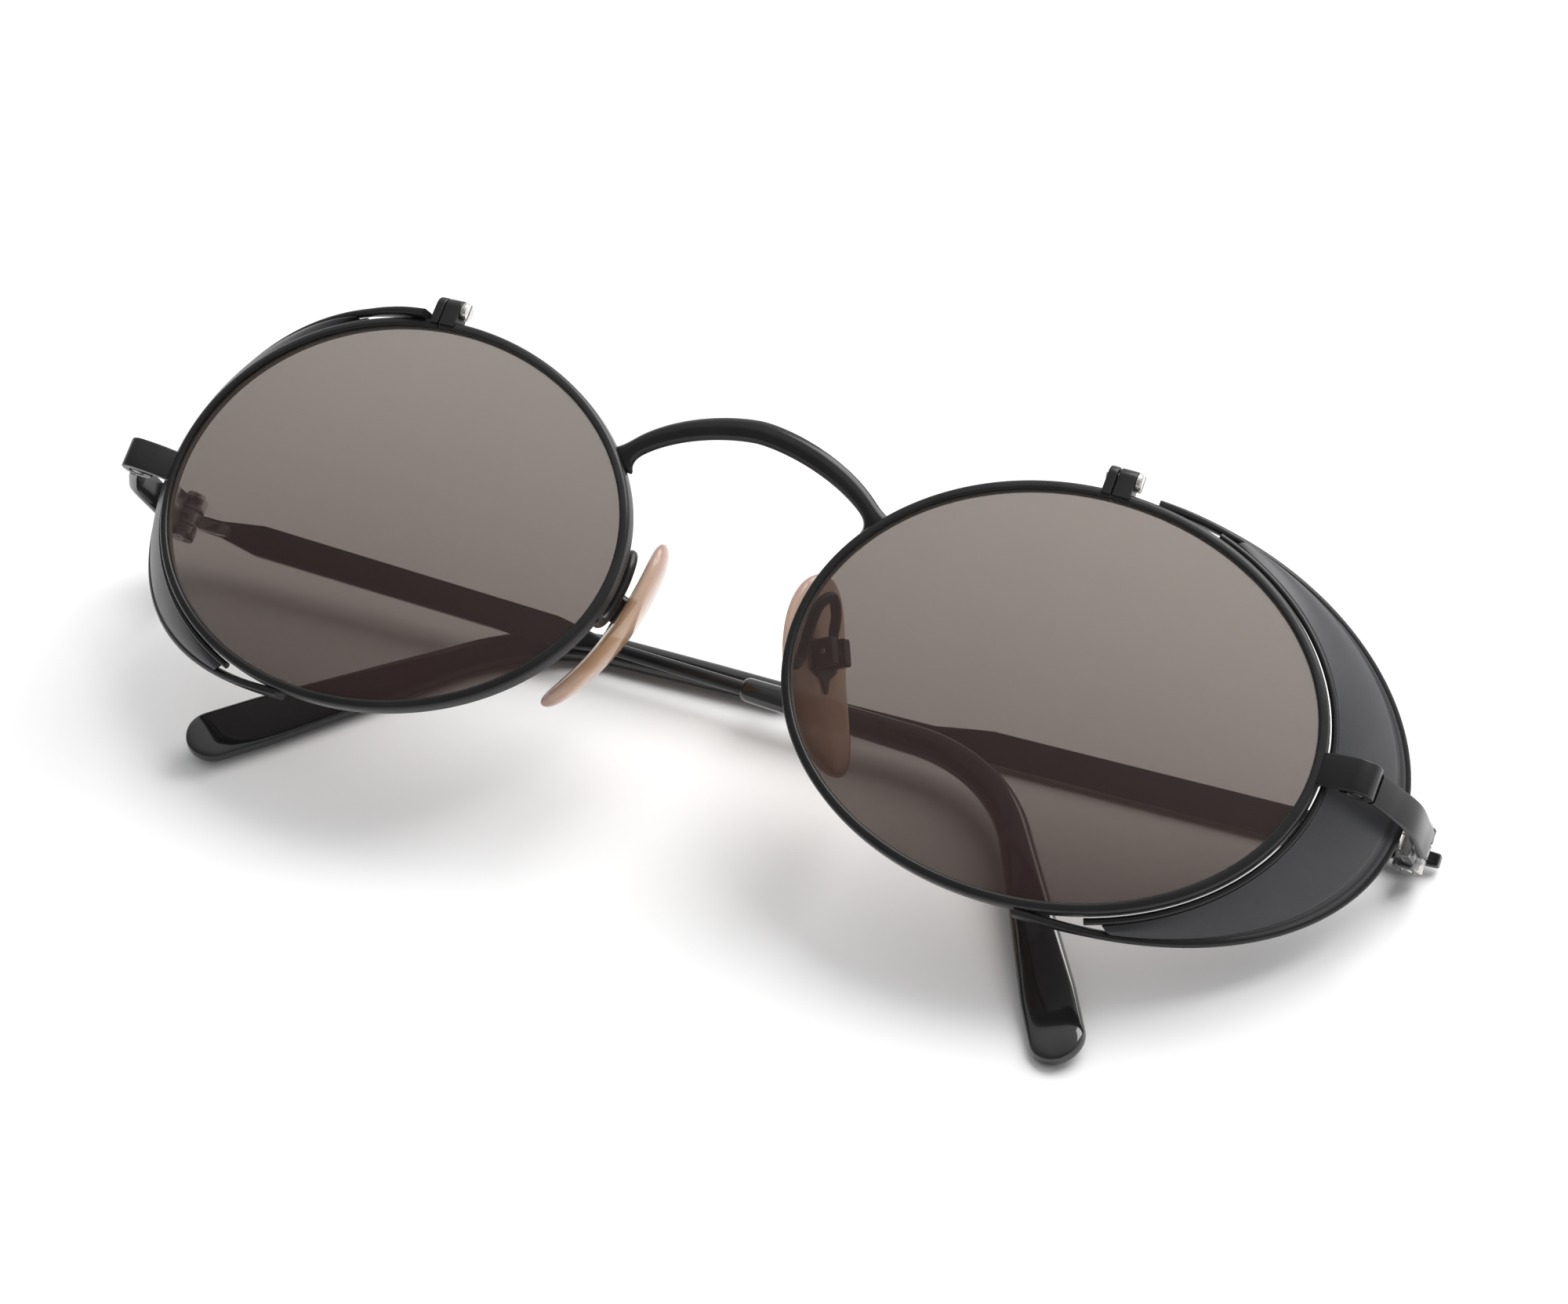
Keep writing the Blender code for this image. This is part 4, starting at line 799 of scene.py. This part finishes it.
def temples():
    """Bar and tip as rings along the temple's line, from the hinge to the end of the tip."""
    plastic = tip_finish()
    marks = np.concatenate([[-2.2, -2.15], np.arange(-2.0, 68.0, 0.4)])
    height = np.interp(marks, (-2.2, 2.2, 3.0, 8.0, 44.0, 50.0), (1.28, 1.6, 1.6, 3.3, 3.1, 1.4))
    thick = np.interp(marks, (44.0, 50.0), (1.1, 1.4))
    power = np.interp(marks, (44.0, 50.0), (7.0, 2.1))
    ends = np.array([0.82, 0.94] + [1.0] * (len(marks) - 2))
    bar = oval(thick / 2 * ends, height / 2 * ends, 40, power)
    tip = np.concatenate([SLEEVE_START + np.array([0, 0.02, 0.08, 0.2, 0.4, 0.7]),
                          np.arange(67.4, 125.6, 0.6),
                          TEMPLE_LENGTH - 2.7 * (1 - np.sin(np.linspace(-0.9, 1, 26) * math.pi / 2))])
    tip = np.unique(np.clip(tip, None, TEMPLE_LENGTH - 0.004))
    stops = (SLEEVE_START, SLEEVE_START + 8, BEND_START + BEND_LENGTH, TEMPLE_LENGTH - 8)
    tall = np.interp(tip, stops, (2.4, 2.7, 3.3, 5.4))
    deep = np.interp(tip, stops, (2.3, 2.3, 2.1, 1.8))
    square = np.interp(tip, (stops[0], stops[2], stops[3]), (2.3, 3.0, 3.4))
    nose = np.clip((TEMPLE_LENGTH - tip) / 2.7, 0, 1)
    fall = np.sqrt(1 - (1 - nose) ** 2)
    mouth = 0.45 * np.clip(1 - (tip - SLEEVE_START) / 0.6, 0, 1) ** 2
    mouth[0] = 0.9
    shape = oval((deep * (0.35 + 0.65 * fall) - mouth) / 2, (tall * np.maximum(fall, 0.04) - mouth) / 2,
                 44, square)
    for side, sign in SIDES:
        skin(f"temple_strip_{side}", temple_rings(side, sign, marks, bar), POLISHED,
             f"temple_{side}", f"temple_bar_{side}")
        skin(f"temple_sleeve_{side}", temple_rings(side, sign, tip, shape), plastic,
             f"temple_{side}", f"temple_tip_{side}", sharp=60)


temples()

# ---- nose pads --------------------------------------------------------------------------------------
# Oval pads of clear peach resin, bowed to the nose and yellower in the middle than at their ends.
# A dark metal core is let into each, and its box rocks on a pin in the eye of a looped wire arm.
PAD_LENGTH = 19.8
PAD_WIDTH = 9.0
PAD_SHIFT = -0.15
PAD_THICKNESS = 2.0
PAD_SAG = 1.7
PAD_ABOVE = 7.8
PAD_BOX_DEPTH = 2.1
PAD_FOOT = {"left": 190 * DEG, "right": 193.6 * DEG}
PAD_REACH = np.array((1.44, 3.28, -5.72))
PAD_UP = unit(np.array((-0.378, 0.912, 0.163)))
PAD_OUT = np.array((0.876, 0.295, 0.380))
PAD_OUT = unit(PAD_OUT - PAD_UP * (PAD_OUT @ PAD_UP))
PAD_ACROSS = np.cross(PAD_UP, PAD_OUT)
PAD_ARM = 0.55


def pad_foot(side):
    """Where the arm's wire meets the rim's back."""
    return lens_place(rim_point(np.array(PAD_FOOT[side]), RIM_WALL / 2, RIM_DEPTH + 0.07), 1)


def pad_place(points, side, sign):
    """The pad's own frame, pin at its origin, in the front's; mirrored for the right."""
    pin = pad_foot(side) + PAD_REACH
    placed = pin + np.asarray(points, float) @ np.array((PAD_ACROSS, PAD_UP, PAD_OUT))
    return placed * (sign, 1, 1)


def resin_finish():
    """Clear aged resin: amber with pinkish ends, faint clouds inside and a polished skin."""
    f = Finish("pad_resin")
    along = f.carried("along")
    cloud = f.noise(260.0, 4.0, 0.6)
    place = along + (cloud - 0.5) * 0.12
    colour = f.ramp(place, (0.0, (0.42, 0.20, 0.14)), (0.14, (0.62, 0.36, 0.22)),
                    (0.45, (0.72, 0.44, 0.25)), (0.80, (0.62, 0.37, 0.22)), (1.0, (0.40, 0.23, 0.17)))
    rim = f.node("ShaderNodeLayerWeight", sockets={"Blend": 0.35}, out="Facing")
    return f.surface(Base_Color=colour, Roughness=(cloud - 0.5) * 0.12 + 0.16, IOR=1.48,
                     Alpha=(rim * 0.35 + 0.60).clamp(), Coat_Weight=0.4, Coat_Roughness=0.05,
                     Normal=f.bump(cloud, 0.12, 0.0001))


def core_finish():
    """Dark stained metal seen through the pad."""
    f = Finish("pad_core_metal")
    stain = f.noise(600.0, 4.0, 0.6)
    colour = f.ramp(stain, (0.3, (0.035, 0.030, 0.027)), (0.7, (0.09, 0.08, 0.07)))
    return f.surface(Base_Color=colour, Metallic=0.6, Roughness=stain * 0.3 + 0.25,
                     Normal=f.bump(stain, 0.3, 0.00003))


def nose_pads():
    """Bowed ovals whose width and thickness both fall to nothing at the ends."""
    resin, core = resin_finish(), core_finish()
    rel = np.sin(np.linspace(-1, 1, 72) * math.pi / 2) * 0.9995
    centre = PAD_ABOVE - PAD_LENGTH / 2
    y = centre + PAD_LENGTH / 2 * rel
    width = PAD_WIDTH / 2 * (1 - np.abs(rel) ** 2.6) ** 0.5 * (1 + 0.1 * rel)
    thick = PAD_THICKNESS / 2 * (1 - np.abs(rel) ** 9) ** 0.5
    floor = -(PAD_BOX_DEPTH / 2 + PAD_THICKNESS / 2 + 0.1)
    middle = floor + PAD_SAG * (rel ** 2 - (centre / (PAD_LENGTH / 2)) ** 2)
    section = oval(width, thick, 48, 2.6)
    rings = np.stack([section[..., 0] + PAD_SHIFT, np.broadcast_to(y[:, None], section.shape[:2]),
                      middle[:, None] + section[..., 1]], -1)
    for side, sign in SIDES:
        skin(f"pad_resin_{side}", pad_place(rings, side, sign), resin, f"nose_pad_{side}", f"pad_{side}",
             numbers={"along": (rel * 0.5 + 0.5)[:, None]}, sharp=60)
        frame["nodes"][f"pad_core_{side}"].data.materials[0] = core
        frame["nodes"][f"pad_pin_{side}"].data.materials[0] = STEEL


def pad_arms():
    """Wire from the rim's back up into a loop and down to its eye, as one smooth curve."""
    turn = np.linspace(0, 2 * math.pi, 28, endpoint=False)
    hoop = corner_profile(0.36, 0.76, -0.45, 0.45, 0.12, 4)
    spin = np.cos(turn)[:, None, None] * PAD_UP + np.sin(turn)[:, None, None] * PAD_OUT
    hoop = spin * hoop[None, :, :1] + PAD_ACROSS * hoop[None, :, 1:]
    for side, sign in SIDES:
        foot = pad_foot(side)
        pin = foot + PAD_REACH
        front = foot + (-0.35, 4.2, -2.4)
        back = foot + (0.95, 4.7, -4.3)
        points = [foot + (0, 0, 0.37), foot + (0.05, 0.1, -1.1), foot + (0, 1.3, -2.1), front,
                  front + (0.05, 2.4, -0.1), (front + back) / 2 + (0.05, 3.5, 0), back + (0, 2.0, 0),
                  pin + PAD_UP * 1.9 + PAD_OUT * 0.3, pin + PAD_UP * 0.3]
        path = smooth_path(points, 12)
        radius = PAD_ARM * np.interp(np.arange(len(path))[::-1], (0, 15), (0.75, 1.0))
        wire = carry(path, (0.5, 0.1, 0.85), oval(radius, radius, 20)) * (sign, 1, 1)
        skin(f"pad_wire_{side}", wire, LACQUER, "front", f"pad_arm_{side}")
        skin(f"pad_eye_{side}", (pin + hoop) * (sign, 1, 1), LACQUER, "front", along=True)


nose_pads()
pad_arms()
